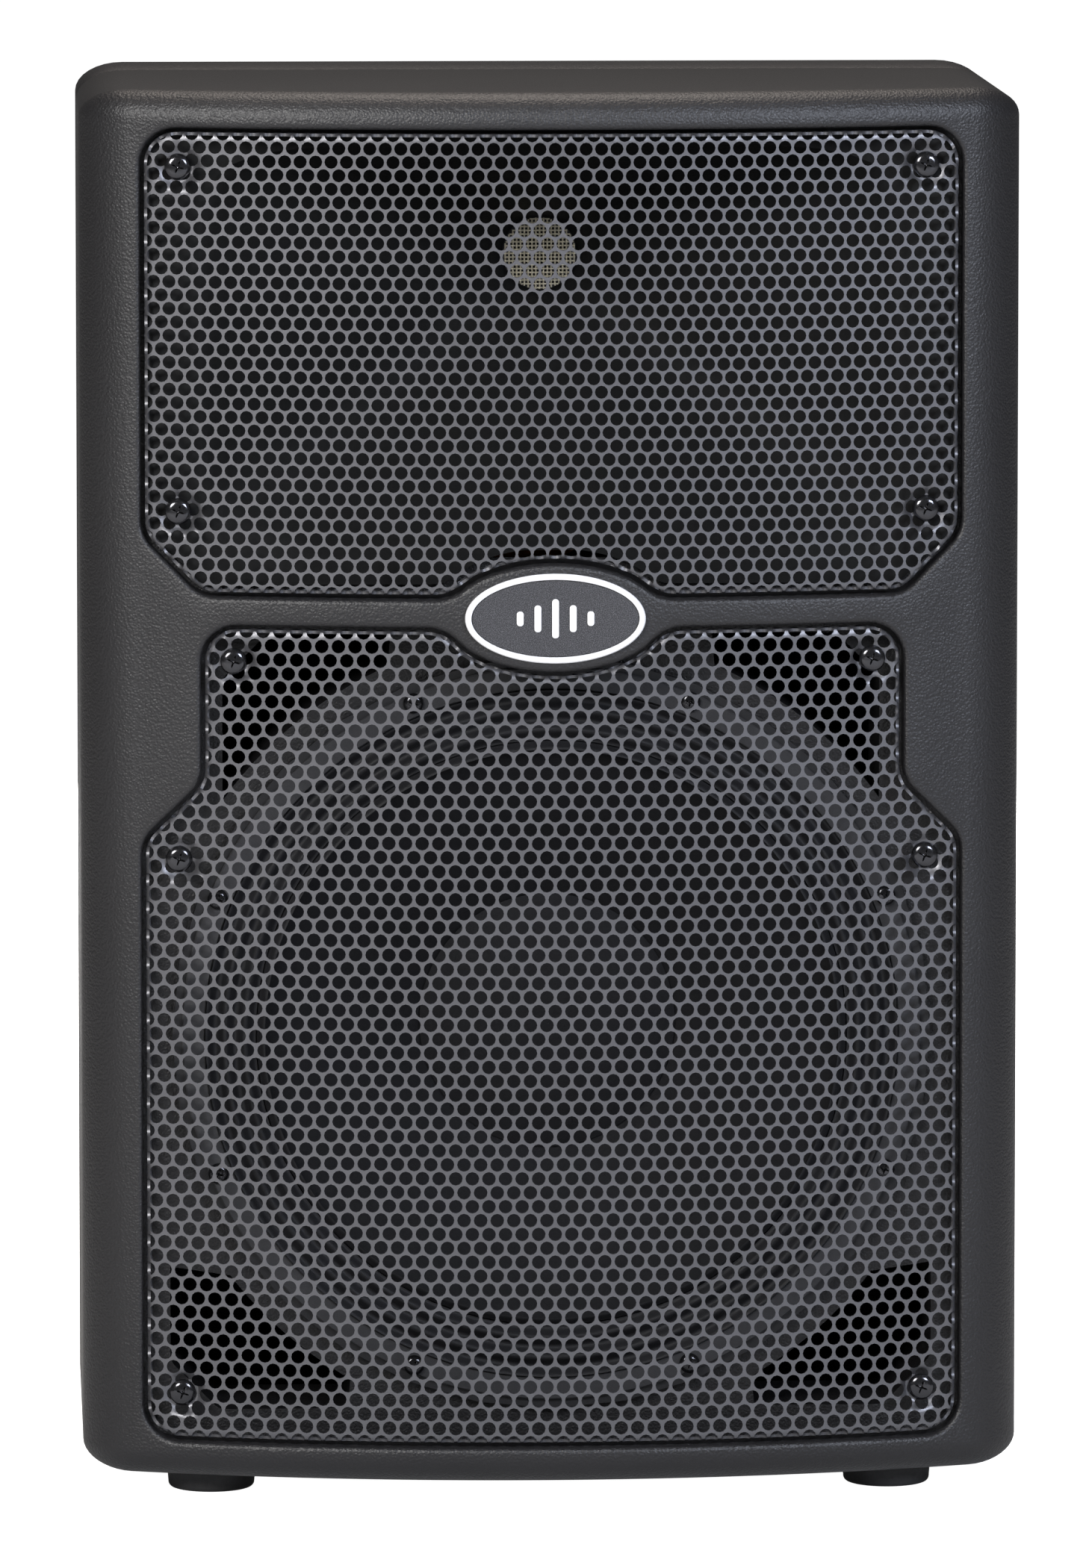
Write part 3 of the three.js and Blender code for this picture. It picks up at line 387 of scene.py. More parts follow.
# ---- front shell
def roll_stations():
    """Round the front's edge: point on the flat's edge, reach to the outline and depth of the roll."""
    inner_x = HALF - ROLL_SIDE
    stations = []
    quarter = 10
    corners = [
        (1, -1, ROLL_BOTTOM, -90), (1, 1, ROLL_TOP, 0), (-1, 1, ROLL_TOP, 90), (-1, -1, ROLL_BOTTOM, 180),
    ]
    for sx, sz, roll, start in corners:
        centre = (sx * inner_x, BOTTOM + ROLL_BOTTOM if sz < 0 else TOP - ROLL_TOP)
        for angle in np.radians(np.linspace(start, start + 90, quarter + 1)):
            c, s = math.cos(angle), math.sin(angle)
            reach = (ROLL_SIDE * c, roll * s)
            stations.append((*centre, *reach, ROLL_DEPTH_SIDE * c * c + roll * s * s))
    stations = np.array(stations)
    closed = np.concatenate([stations, stations[:1]])
    dense = []
    for a, b in zip(closed, closed[1:]):
        count = max(1, math.ceil(abs(b[0] - a[0]) / 0.007))
        dense.extend(a + (b - a) * k / count for k in range(count))
    return np.array(dense)


def front_face(surface, openings):
    """The rolled edge back to the seam, the bowed flat and the rounded edges of the openings."""
    stations = roll_stations()
    core, reach, deep = stations[:, :2], stations[:, 2:4], stations[:, 4]
    rows = []
    for theta in np.radians(np.linspace(0, 90, 13)):
        at = core + reach * math.sin(theta)
        rows.append(lifted(at, skin_y(at[:, 0]) + deep * (1 - math.cos(theta))))
    outward = reach / np.linalg.norm(reach, axis=1)[:, None]
    outline = core + reach
    lip = 0.006
    for inset, ahead in ((0, SEAM_EDGE), (SEAM_EDGE * 0.4, SEAM_EDGE * 0.3), (SEAM_EDGE, 0), (lip, 0)):
        rows.append(lifted(outline - outward * inset, SEAM_Y - ahead))
    surface.rows(rows)
    brows = [offset(loop, -OPENING_EDGE) for loop in openings]
    surface.add(*filled(core, brows, on_skin))
    for loop in openings:
        rim = []
        for phi in np.radians(np.linspace(0, 90, 6)):
            at = offset(loop, -OPENING_EDGE * (1 - math.sin(phi)))
            rim.append(on_skin(at, OPENING_EDGE * (1 - math.cos(phi))))
        rim.append(lifted(loop, BAFFLE_Y))
        surface.rows(rim)


def port(side, far, near, notch, mirror):
    """A corner port: straight sides along the opening, and an arc that runs round the woofer."""
    radius, corner = 0.166, 0.006
    lowest = 0.62  # angle above or below the woofer's middle where the arc ends at the latest
    rise = far - WOOFER_Z
    up = math.copysign(1, rise)
    arc_start = max(math.acos(side / radius), lowest) * up
    arc_end = math.atan2(rise, near)
    curved = arc(0, WOOFER_Z, radius, math.degrees(arc_end), math.degrees(arc_start), 16)
    corners = [(side, curved[-1][1], 0), (side, far - up * notch, corner), (side - notch, far, corner),
               (near, far, 0)]
    loop = np.concatenate([rounded_path(corners, 4), curved[1:-1]])
    if up < 0:
        loop = loop[::-1]
    if mirror:
        loop = (loop * [-1, 1])[::-1]
    return loop


def baffle(surface, openings, ports):
    """The wall behind the grilles, with holes for the horn, the woofer and the ports, and the port ducts."""
    half = HORN_HALF + HORN_MARGIN
    mouth = rounded_loop(-half, half, HORN_LOW - HORN_MARGIN, HORN_HIGH + HORN_MARGIN, 0.03)
    woofer_hole = circle(0, WOOFER_Z, 0.142)
    for opening, holes in zip(openings, ([mouth], [woofer_hole, *ports])):
        surface.add(*filled(opening, holes, lambda p: lifted(p, BAFFLE_Y), spacing=0.03))
    duct = 0.06
    for loop in ports:
        surface.rows([lifted(loop, BAFFLE_Y), lifted(loop, BAFFLE_Y + duct)])


def front_shell(openings):
    surface = Surface()
    front_face(surface, openings)
    ports = [port(0.157, 0.035, 0.084, 0.020, m) for m in (False, True)]
    ports += [port(0.135, 0.356, 0.066, 0.018, m) for m in (False, True)]
    baffle(surface, openings, ports)
    return surface.piece("front_shell_moulding", shell_plastic(), replaces=["front_shell"],
                         slot="shell_plastic", sharp=30)


# ---- grilles
def hex_cell(pitch, row, hole_r):
    """A cell of the perforation about its hole: twelve points on its edge and twelve on the hole."""
    low = (row**2 - pitch**2 / 4) / (2 * row)
    corners = np.array([(pitch / 2, low), (0, row - low), (-pitch / 2, low),
                        (-pitch / 2, -low), (0, low - row), (pitch / 2, -low)])
    middles = (corners + np.roll(corners, 1, axis=0)) / 2
    edge = np.stack([middles, corners], 1).reshape(-1, 2)
    angles = np.arange(12) * np.pi / 6
    hole = hole_r * np.stack([np.cos(angles), np.sin(angles)], 1)
    return edge, hole


def fold(points, loop, depth):
    """Bends a flat sheet back over its outline. Points past the edge go round the fold and down its leg."""
    distance, foot, outward = nearest(points, loop)
    past = FOLD_RADIUS - distance
    angle = np.clip(past / FOLD_RADIUS, 0, np.pi / 2)
    leg = np.maximum(past - FOLD_RADIUS * np.pi / 2, 0)
    radius = FOLD_RADIUS - depth
    side = -FOLD_RADIUS + radius * np.sin(angle)
    bent = foot + outward * side[:, None]
    flat = past <= 0
    at = np.where(flat[:, None], points, bent)
    back = np.where(flat, depth, FOLD_RADIUS - radius * np.cos(angle) + leg)
    return at, back


def dimpled(points, screws, depth):
    """The sheet in space: on the bow, and pressed back to a flat seat round each screw.

    The screws are (x, z, y of the seat). depth is how far each point lies behind the bow.
    """
    place = on_skin(points, depth)
    for x, z, seat in screws:
        away = np.linalg.norm(points - [x, z], axis=1)
        share = np.clip((SEAT_RIM - away) / (SEAT_RIM - SEAT_FLOOR), 0, 1)
        share = share * share * (3 - 2 * share)
        behind = depth - depth.min()
        place[:, 1] += share * (seat + np.minimum(behind, SHEET) - place[:, 1])
    return place


def near_screw(points, screws):
    """Which points lie on the flat seat of a screw."""
    near = np.zeros(len(points), bool)
    for x, z, _ in screws:
        near |= np.linalg.norm(points - [x, z], axis=1) < SEAT_FLOOR
    return near


def hole_places(outline, pitch, row):
    """Middles of the staggered holes in an outline and in what is folded back past it."""
    reach = FOLD_RADIUS * (np.pi / 2 - 1) + FOLD_LEG
    margin = 0.012
    low = outline.min(0) - margin
    high = outline.max(0) + margin
    centres = []
    middle = (low[1] + high[1]) / 2
    rows = int((high[1] - low[1]) / row / 2) + 1
    columns = int(high[0] / pitch) + 2
    for r in range(-rows, rows + 1):
        shift = pitch / 2 if r % 2 else 0
        centres += [(c * pitch + shift, middle + r * row) for c in range(-columns, columns + 1)]
    centres = np.array(centres)
    distance, _, _ = nearest(centres, outline)
    return centres[distance > -reach]


def grille(name, opening, screws, pitch, row, hole_r):
    """A perforated sheet in an opening: hexagonal cells, folded back over its outline and bowed."""
    outline = offset(opening, GRILLE_GAP)
    centres = hole_places(outline, pitch, row)
    edge, hole = hex_cell(pitch, row, hole_r)
    flat = np.concatenate([centres[:, None] + edge, centres[:, None] + hole], 1).reshape(-1, 2)
    front, back = fold(flat, outline, 0.0)
    walls = (centres[:, None] + hole).reshape(-1, 2)
    wall_at, wall_back = fold(walls, outline, SHEET)
    face_points = dimpled(front, screws, GRILLE_RECESS + back)
    wall_points = dimpled(wall_at, screws, GRILLE_RECESS + wall_back)
    wall_points[:, 1] += np.where(near_screw(wall_at, screws), SHEET, 0)
    around = np.arange(12)
    ahead = (around + 1) % 12
    cells = np.arange(len(centres))[:, None] * 24
    webs = np.stack([cells + around, cells + ahead, cells + 12 + ahead, cells + 12 + around], -1)
    inner = len(face_points) + np.arange(len(centres))[:, None] * 12
    bores = np.stack([cells + 12 + around, cells + 12 + ahead, inner + ahead, inner + around], -1)
    faces = np.concatenate([webs.reshape(-1, 4), bores.reshape(-1, 4)])
    surface = Surface()
    surface.add(np.concatenate([face_points, wall_points]), faces)
    return surface.piece(name, grille_steel(), replaces=[name.replace("_perforated", "")],
                         slot="grille_steel", sharp=40, weld=2e-5)


# ---- screws and badge
def screw_rows(x, z, r, crown, way=1, tall=HEAD_HEIGHT, twist=20.0, sides=48):
    """A pan head with a cross recess. crown is the y of its top, and way is 1 to face the front, -1 the back."""
    unit = unit_ring(sides)
    cross = r * (0.15 + 0.36 * np.abs(np.cos(2 * (turn(sides) - math.radians(twist)))) ** 8)

    def at(radius, depth):
        radius = np.broadcast_to(radius, sides)
        return np.array([x, crown + way * depth, z]) + radius[:, None] * unit

    rows = [at(0.001 * r, 0.85 * tall), at(0.5 * cross, 0.8 * tall), at(cross, 0.05 * tall)]
    for share in (0.58, 0.7, 0.81, 0.9, 0.96, 0.99):
        rows.append(at(r * share, tall * (1 - math.sqrt(1 - share**3))))
    rows += [at(r, 0.88 * tall), at(r, tall), at(0.4 * r, tall)]
    return rows


def pan_screw(name, node):
    """A cross-recessed screw in the place of a CAD screw."""
    low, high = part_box(node)
    x, _, z = middle_of(node)
    surface = Surface()
    surface.rows(screw_rows(x, z, (high.x - low.x) / 2, low.y))
    return surface.piece(name, black_steel(), replaces=[node], slot="black_screw", sharp=38)


def oval_rows(profile, sides=128):
    """Rows round the badge's middle. The profile's points are (distance inside the badge's edge, y)."""
    angles = turn(sides)
    rows = []
    for inside, y in profile:
        a, b = BADGE_A - inside, BADGE_B - inside
        rows.append(np.stack([a * np.sin(angles), np.full(sides, y), BADGE_Z + b * np.cos(angles)], 1))
    return rows


def badge():
    """A white oval ring round a dark plate, with five raised bars like a level meter."""
    front = BADGE_LOW.y
    back = BADGE_HIGH.y
    rim = Surface()
    rim.rows(oval_rows([
        (0, back), (0, front + 0.0008), (0.0002, front + 0.0003), (0.0006, front), (0.0019, front),
        (0.0024, front + 0.0003), (0.0026, front + 0.0008), (0.0026, back),
    ]))
    rim.piece("badge_rim_ring", white_rim(), replaces=["badge_rim"], slot="badge_white")
    field = Surface()
    face = front + 0.0008
    rows = oval_rows([(0.0029, back), (0.0029, face), (0.006, face)])
    field.rows(rows)
    field.cap(rows[-1])
    field.piece("badge_field_plate", badge_field(), replaces=["badge_plate"], slot="badge_field")
    bars = Surface()
    heights = [0.006, 0.011, 0.016, 0.011, 0.006]
    pitch = 0.0072
    half = 0.0014
    for i, tall in enumerate(heights):
        x = (i - (len(heights) - 1) / 2) * pitch
        loop = rounded_loop(x - half, x + half, BADGE_Z - tall / 2, BADGE_Z + tall / 2, half * 0.9)
        lip = offset(loop, 0.0002)
        bars.rows([lifted(loop, face + 0.0002), lifted(loop, face - 0.0005), lifted(lip, face - 0.0007)])
        bars.cap(lifted(lip, face - 0.0007))
    bars.piece("badge_level_bars", white_rim(), slot="badge_white")


# ---- horn and woofer
def horn():
    """A flare from the round throat to the squarish mouth, and the flange round the mouth."""
    throat_z, throat_r, throat_y = 0.505, 0.0155, -0.030
    mouth_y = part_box("horn_waveguide")[0].y
    sides = 96
    c, s = np.cos(turn(sides)), np.sin(turn(sides))
    rows = []
    for t in np.linspace(0, 1, 25):
        flare = t**1.25
        wide = throat_r + (HORN_HALF - throat_r) * flare
        tall = throat_r + ((HORN_HIGH - HORN_LOW) / 2 - throat_r) * flare
        middle = throat_z + ((HORN_HIGH + HORN_LOW) / 2 - throat_z) * flare
        power = 2 + 5 * min(1, 2 * t)  # 2 is an ellipse, 7 nearly a rectangle
        reach = (np.abs(c)**power + np.abs(s)**power) ** (-1 / power)
        y = throat_y + (mouth_y - throat_y) * t
        rows.append(np.stack([c * reach * wide, np.full(sides, y), middle + s * reach * tall], 1))
    surface = Surface()
    surface.rows(rows)
    mouth = rows[-1][:, [0, 2]]
    outer = offset(upper_opening(), HORN_MARGIN)
    surface.add(*filled(outer, [mouth], lambda p: lifted(p, mouth_y), spacing=0.03))
    surface.piece("horn_flare", horn_plastic(), replaces=["horn_waveguide"], slot="horn_plastic", sharp=40)


def throat_screen():
    """A disc of plain woven wire: wires that pass over and under each other."""
    low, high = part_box("throat_screen")
    _, _, z = middle_of("throat_screen")
    r = (high.x - low.x) / 2
    wire = 0.00035
    pitch = 0.0016
    surface = Surface()
    count = int(r / pitch)
    sides = 6
    ring = turn(sides)
    for upright in (False, True):
        for k in range(-count, count + 1):
            across = k * pitch
            half = math.sqrt(max(r**2 - across**2, 0))
            steps = max(4, int(2 * half / pitch) * 4)
            along = np.linspace(-half, half, steps)
            wave = wire * np.cos(np.pi * along / pitch + (np.pi if (k + upright) % 2 else 0))
            rows = []
            for a, w in zip(along, wave):
                side = wire * np.cos(ring) + across
                lift = wire * np.sin(ring) + w + low.y
                if upright:
                    rows.append(np.stack([side, lift, np.full(sides, z + a)], 1))
                else:
                    rows.append(np.stack([np.full(sides, a), lift, z + side], 1))
            surface.rows(rows)
    surface.piece("throat_screen_weave", screen_wire(), replaces=["throat_screen"], slot="throat_wire")


def woofer_gasket():
    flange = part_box("woofer_basket")[0].y
    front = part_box("woofer_gasket_ring")[0].y
    inner, outer, bevel = 0.1426, 0.152, 0.0005
    ring = Surface()
    ring.rows(woofer_rows([(inner, flange), (inner, front + bevel), (inner + bevel, front),
                           (outer - bevel, front), (outer, front + bevel), (outer, flange)]))
    ring.piece("woofer_gasket_fibre", gasket_fibre(), replaces=["woofer_gasket_ring"], slot="gasket_board")


def surround(cone_r):
    """Three pleats, split near the cone's edge: the landing rides on the cone and the rest stays still."""
    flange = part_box("woofer_basket")[0].y
    inner, split, outer = cone_r - 0.003, cone_r + 0.0006, 0.1424
    swell = 0.0016
    skirt = 0.007  # deeper than the cone's travel, so that the step between the two parts stays closed
    r = np.linspace(inner, outer, 60)
    y = flange - swell - swell * np.cos(6 * np.pi * (r - inner) / (outer - inner))
    profile = list(zip(r, y))
    landing_profile = [point for point in profile if point[0] < split]
    pleat_profile = [point for point in profile if point[0] >= split]
    landing_r, landing_y = landing_profile[-1]
    pleat_r, pleat_y = pleat_profile[0]

    landing = Surface()
    landing.rows(woofer_rows(landing_profile + [(landing_r, landing_y + skirt)]))
    landing.piece("woofer_surround_landing", pleated_cloth(), "woofer_moving_assembly", slot="pleated_cloth",
                  sharp=60)
    pleats = Surface()
    pleats.rows(woofer_rows([(pleat_r, pleat_y + skirt)] + pleat_profile))
    pleats.piece("woofer_surround_pleats", pleated_cloth(), replaces=["woofer_surround"],
                 slot="pleated_cloth", sharp=60)


def cone_and_cap(low, high):
    """The cone, whose box is from low to high, and the dust cap on it."""
    neck_r, neck_y = 0.0386, high.y - 0.0012
    r = np.linspace(neck_r, high.x, 30)
    y = neck_y + (low.y - neck_y) * ((r - neck_r) / (high.x - neck_r)) ** 0.9
    cone = Surface()
    cone.rows(woofer_rows(zip(r, y)))
    cone.piece("woofer_cone_paper", cone_paper(), "woofer_moving_assembly", replaces=["woofer_cone"],
               slot="cone_paper")
    cap_low, cap_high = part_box("woofer_dust_cap")
    share = np.linspace(0.001, 1, 24)
    y = cap_high.y - (cap_high.y - cap_low.y) * (1 - share**2.2)
    cap = Surface()
    cap.rows(woofer_rows(zip(cap_high.x * share, y)))
    cap.piece("woofer_dust_cap_dome", cone_paper(), "woofer_moving_assembly", replaces=["woofer_dust_cap"],
              slot="cone_paper")


def woofer():
    low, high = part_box("woofer_cone")
    woofer_gasket()
    surround(high.x)
    cone_and_cap(low, high)


# ---- rear shell
def rounded_section(half, low, high, rx, rz_low, rz_high, y, quarter=8):
    """A rounded rectangle across the cabinet at y, counter-clockwise seen from the front."""
    points = []
    corners = [(1, -1, rz_low, -90), (1, 1, rz_high, 0), (-1, 1, rz_high, 90), (-1, -1, rz_low, 180)]
    for sx, sz, rz, start in corners:
        cx = sx * (half - rx)
        cz = low + rz_low if sz < 0 else high - rz_high
        for angle in np.radians(np.linspace(start, start + 90, quarter + 1)):
            points.append((cx + rx * math.cos(angle), y, cz + rz * math.sin(angle)))
    return np.array(points)


def rear_block():
    """The rear shell's outside as one closed block, from the seam to the back."""
    shoulder_y, rear_half, rear_top = 0.075, 0.122, 0.500
    side = rounded_path([(HALF, REAR_LOW.y, 0), (HALF, shoulder_y, 0.030), (rear_half, BACK, 0.014),
                         (0, BACK, 0)], 10)
    crown = rounded_path([(TOP, REAR_LOW.y, 0), (TOP, shoulder_y, 0.030), (rear_top, BACK, 0.014),
                          (0, BACK, 0)], 10)
    base = rounded_path([(BOTTOM, REAR_LOW.y, 0), (BOTTOM, BACK, 0.014), (0.25, BACK, 0)], 10)
    stations = sorted({round(float(y), 6) for y in [*side[1:-1, 1], *crown[1:-1, 1], *base[1:-1, 1]]})
    stations = [y for y in stations if y > REAR_LOW.y + 0.01]
    rows = []
    for behind, inset in ((0, SEAM_EDGE), (SEAM_EDGE * 0.3, SEAM_EDGE * 0.4), (SEAM_EDGE, 0)):
        rows.append(rounded_section(HALF - inset, BOTTOM + inset, TOP - inset, ROLL_SIDE - inset,
                                    ROLL_BOTTOM - inset, ROLL_TOP - inset, REAR_LOW.y + behind))
    for y in stations:
        half, top, low = (float(np.interp(y, line[:-1, 1], line[:-1, 0])) for line in (side, crown, base))
        rows.append(rounded_section(half, low, top, ROLL_SIDE, ROLL_BOTTOM, ROLL_TOP, y))
    surface = Surface()
    surface.rows(rows)
    surface.cap(rows[0])
    surface.cap(rows[-1])
    return surface


def cut(obj, *boxes):
    """Cuts boxes, given as (low corner, high corner), out of an object."""
    for low, high in boxes:
        corners = list(product(*zip(low, high)))
        faces = [(0, 1, 3, 2), (4, 6, 7, 5), (0, 4, 5, 1), (2, 3, 7, 6), (0, 2, 6, 4), (1, 5, 7, 3)]
        mesh = bpy.data.meshes.new("cutter")
        mesh.from_pydata(corners, [], faces)
        cutter = bpy.data.objects.new("cutter", mesh)
        bpy.context.scene.collection.objects.link(cutter)
        modifier = obj.modifiers.new("cut", "BOOLEAN")
        modifier.object = cutter
        modifier.solver = "EXACT"
        baked(obj)
        bpy.data.objects.remove(cutter)


def baked(obj):
    """Applies an object's modifiers to its mesh."""
    graph = bpy.context.evaluated_depsgraph_get()
    mesh = bpy.data.meshes.new_from_object(obj.evaluated_get(graph))
    obj.modifiers.clear()
    obj.data = mesh


def bevelled(obj, width, segments=3, angle=35):
    """Rounds the edges that are sharper than an angle in degrees."""
    modifier = obj.modifiers.new("bevel", "BEVEL")
    modifier.width = width
    modifier.segments = segments
    modifier.limit_method = "ANGLE"
    modifier.angle_limit = math.radians(angle)
    modifier.use_clamp_overlap = True
    baked(obj)


def rear_shell():
    """The block with its panel recess and handle pocket cut in and softened, then hollowed out."""
    obj = rear_block().piece("rear_shell_moulding", shell_plastic(), replaces=["rear_shell"],
                             slot="shell_plastic")
    panel_low, panel_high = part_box("amp_panel")
    margin = 0.001
    recess = ((panel_low.x - margin, panel_low.y - 0.0003, panel_low.z - margin),
              (panel_high.x + margin, BACK + 0.01, panel_high.z + margin))
    pocket = ((-0.066, 0.080, 0.488), (0.066, 0.158, TOP + 0.01))
    hollow = ((-0.165, 0, 0.030), (0.165, 0.080, 0.480))
    deep_hollow = ((-0.115, 0.070, 0.030), (0.115, 0.150, 0.480))
    window = ((-0.076, 0.140, 0.154), (0.076, 0.160, 0.436))
    cut(obj, recess, pocket)
    bevelled(obj, 0.002)
    cut(obj, hollow, deep_hollow, window)
    shaded(obj.data, 30)


# ---- rear details, handle and feet
def softened(name, node, material, body=ROOT, width=0.0005, segments=2, sharp=35):
    """A CAD piece with its edges rounded off."""
    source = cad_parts[node]
    mesh = source.data.copy()
    mesh.transform(source.matrix_world)
    mesh.materials.clear()
    mesh.name = name
    obj = finished(mesh, name, material, body, [node], sharp)
    bevelled(obj, width, segments)
    shaded(obj.data, sharp)


def upright_rows(profile, x, y, sides=72):
    """Rows of points turned about an upright axis at x and y. The profile's points are (radius, z)."""
    angles = turn(sides)
    ring = np.stack([np.cos(angles), np.sin(angles), np.zeros(sides)], 1)
    return np.array([np.array([x, y, z]) + r * ring for r, z in profile])


def foot(node):
    """A rubber foot: a short drum with a rounded tread and a screw well underneath."""
    low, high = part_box(node)
    x, y, _ = middle_of(node)
    r = (high.x - low.x) / 2
    well, edge = 0.0052, 0.0022
    tread = arc(r - edge - 0.0004, edge, edge, -90, -10, 6)
    profile = [(0.0004, 0.005), (well - 0.0006, 0.005), (well, 0.0044), (well, 0.0005), (well + 0.0005, 0)]
    profile += [tuple(point) for point in tread]
    profile += [(r, high.z - 0.0012), (r, high.z), (0.006, high.z)]
    surface = Surface()
    surface.rows(upright_rows(profile, x, y))
    surface.piece(f"{node}_rubber", foot_rubber(), replaces=[node], slot="foot_rubber", sharp=50)


def handle():
    """The grip: a rubber sleeve with rings round it, on a bar let into the pocket's sides."""
    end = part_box("top_handle")[1].x
    _, y, z = middle_of("top_handle")
    r, half, bar = 0.011, 0.062, 0.007
    ribs, groove, steps = 22, 0.0008, 6
    cuff = [(end, bar), (half + 0.002, bar), (half + 0.002, r - 0.0015), (half + 0.0005, r)]
    stations = [(-x, q) for x, q in cuff]
    for k in range(ribs * steps + 1):
        x = -half + 2 * half * k / (ribs * steps)
        stations.append((x, r - groove * (0.5 - 0.5 * math.cos(2 * math.pi * k / steps)) ** 2))
    stations += cuff[::-1]
    sides = 48
    c, s = np.cos(turn(sides)), np.sin(turn(sides))
    rows = [np.stack([np.full(sides, x), y + q * c, z + q * s], 1) for x, q in stations]
    surface = Surface()
    surface.rows(rows)
    surface.piece("top_handle_grip", foot_rubber(), replaces=["top_handle"], slot="grip_rubber", sharp=50)


def level_knob(node, body):
    """A knob with a skirt, shallow flutes and a white pointer."""
    low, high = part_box(node)
    x, _, z = middle_of(node)
    skirt, tip = 0.1585, high.y
    sides, flutes = 144, 18
    unit = unit_ring(sides)
    flute = 1 - 0.05 * (0.5 + 0.5 * np.cos(flutes * turn(sides))) ** 3
    profile = [(0.003, low.y, 0), (0.003, skirt, 0), (0.0087, skirt, 0), (0.009, skirt + 0.0003, 0),
               (0.009, skirt + 0.0016, 0), (0.0086, skirt + 0.0021, 0), (0.0076, skirt + 0.0024, 1),
               (0.0074, skirt + 0.004, 1), (0.0069, tip - 0.0009, 1), (0.0066, tip - 0.0003, 1),
               (0.006, tip, 0), (0.0003, tip, 0)]
    rows = []
    for r, y, fluted in profile:
        radius = r * (flute if fluted else np.ones(sides))
        rows.append(np.array([x, y, z]) + radius[:, None] * unit)
    surface = Surface()
    surface.rows(rows)
    surface.piece(f"{node}_cap", knob_plastic(), body, replaces=[node], slot="knob_plastic", sharp=40)
    mark = Surface()
    half, reach = 0.0005, 0.0062
    loop = rounded_loop(x - half, x + half, z + 0.0015, z + reach, half * 0.9)
    mark.rows([lifted(loop, tip - 0.0002), lifted(loop, tip + 0.0001)])
    mark.cap(lifted(loop, tip + 0.0001))
    mark.piece(f"{node}_pointer", white_rim(), body, slot="badge_white")


def tick_marks():
    """A plain scale of eleven printed ticks round each knob, and a printed rule round each block."""
    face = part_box("amp_panel")[1].y
    surface = Surface()
    for node in ("level_knob_1", "level_knob_2"):
        x, _, z = middle_of(node)
        centre = np.array([x, z])
        for angle in np.radians(np.linspace(-150, 150, 11)):
            out = np.array([math.sin(angle), math.cos(angle)])
            side = np.array([out[1], -out[0]]) * 0.0003
            near, far = centre + 0.0112 * out, centre + 0.0138 * out
            loop = np.array([near - side, far - side, far + side, near + side])
            printed(surface, loop, face)
    for x0, x1, z0, z1 in ((-0.078, 0.078, 0.2265, 0.329), (-0.078, 0.078, 0.160, 0.2165)):
        outer = rounded_loop(x0, x1, z0, z1, 0.005)
        inner = offset(outer, 0.0005)
        surface.rows([lifted(outer, face), lifted(outer, face + PRINT), lifted(inner, face + PRINT),
                      lifted(inner, face)])
    surface.piece("panel_print", white_rim(), slot="badge_white")


def printed(surface, loop, face):
    """A thin film of print over a loop on the panel."""
    surface.rows([lifted(loop, face), lifted(loop, face + PRINT)])
    surface.cap(lifted(loop, face + PRINT))


def jack_insert(node, index):
    """The front of a combination socket: a disc with a round hole for a plug and three pin holes."""
    x, _, _ = middle_of(node)
    face, depth = 0.1545, 0.012
    outer = circle(x, JACK_Z, 0.0093, 64)
    holes = [circle(x, JACK_Z, 0.0033, 32)]
    for pin_x, pin_z in 0.006 * np.array([(0, 1), (-math.sqrt(0.75), -0.5), (math.sqrt(0.75), -0.5)]):
        holes.append(circle(x + pin_x, JACK_Z + pin_z, 0.0012, 16))
    surface = Surface()
    surface.add(*filled(outer, holes, lambda p: lifted(p, face), spacing=0.02))
    for hole in holes:
        surface.rows([lifted(hole, face), lifted(hole, face - depth)])
    surface.piece(f"combo_insert_{index}", connector_plastic(), slot="connector_plastic")


def panel_screws():
    """Ten screws hold the amplifier panel in its recess."""
    low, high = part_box("amp_panel")
    surface = Surface()
    inset, crown = 0.0045, high.y + 0.0016
    heights = np.linspace(low.z + inset, high.z - inset, 5)
    for x in (low.x + inset, high.x - inset):
        for k, z in enumerate(heights):
            surface.rows(screw_rows(x, z, 0.003, crown, -1, 0.0015, 15 + 25 * k))
    surface.piece("panel_screws", black_steel(), slot="black_screw", sharp=38)


def rear_details():
    softened("amp_panel_plate", "amp_panel", panel_paint(), width=0.0004)
    softened("amp_heatsink_fins", "amp_heatsink", dark_anodised(), width=0.0004)
    for index, side in ((1, "left"), (2, "right")):
        node = f"combo_jack_{index}"
        softened(f"{node}_frame", node, connector_plastic(), sharp=30)
        jack_insert(node, index)
        softened(f"latch_tab_{index}_key", f"latch_tab_{index}", plated_metal(), f"latch_{side}",
                 0.0004)
        level_knob(f"level_knob_{index}", f"level_knob_{side}")
    softened("ground_lift_cap", "ground_lift_button", knob_plastic(), "ground_lift", 0.0005)
    softened("power_rocker_paddle", "power_rocker", connector_plastic(), "rocker",
             0.0006, 3)
    softened("iec_inlet_body", "iec_inlet", connector_plastic(), width=0.0005)
    softened("fuse_drawer_body", "fuse_drawer", connector_plastic(), "fuse_holder",
             0.0003)
    softened("pole_socket_cup", "pole_socket", connector_plastic(), width=0.0005,
             sharp=30)
    tick_marks()
    panel_screws()


# ---- materials, each made when it is first asked for
def new_material(name):
    material = bpy.data.materials.new(name)
    material.use_nodes = True
    tree = material.node_tree
    shader = tree.nodes["Principled BSDF"]
    return material, tree, shader


def shader_node(tree, kind, **inputs):
    made = tree.nodes.new(kind)
    for key, value in inputs.items():
        made.inputs[key.replace("_", " ")].default_value = value
    return made


def object_points(tree):
    return tree.nodes.new("ShaderNodeTexCoord").outputs["Object"]


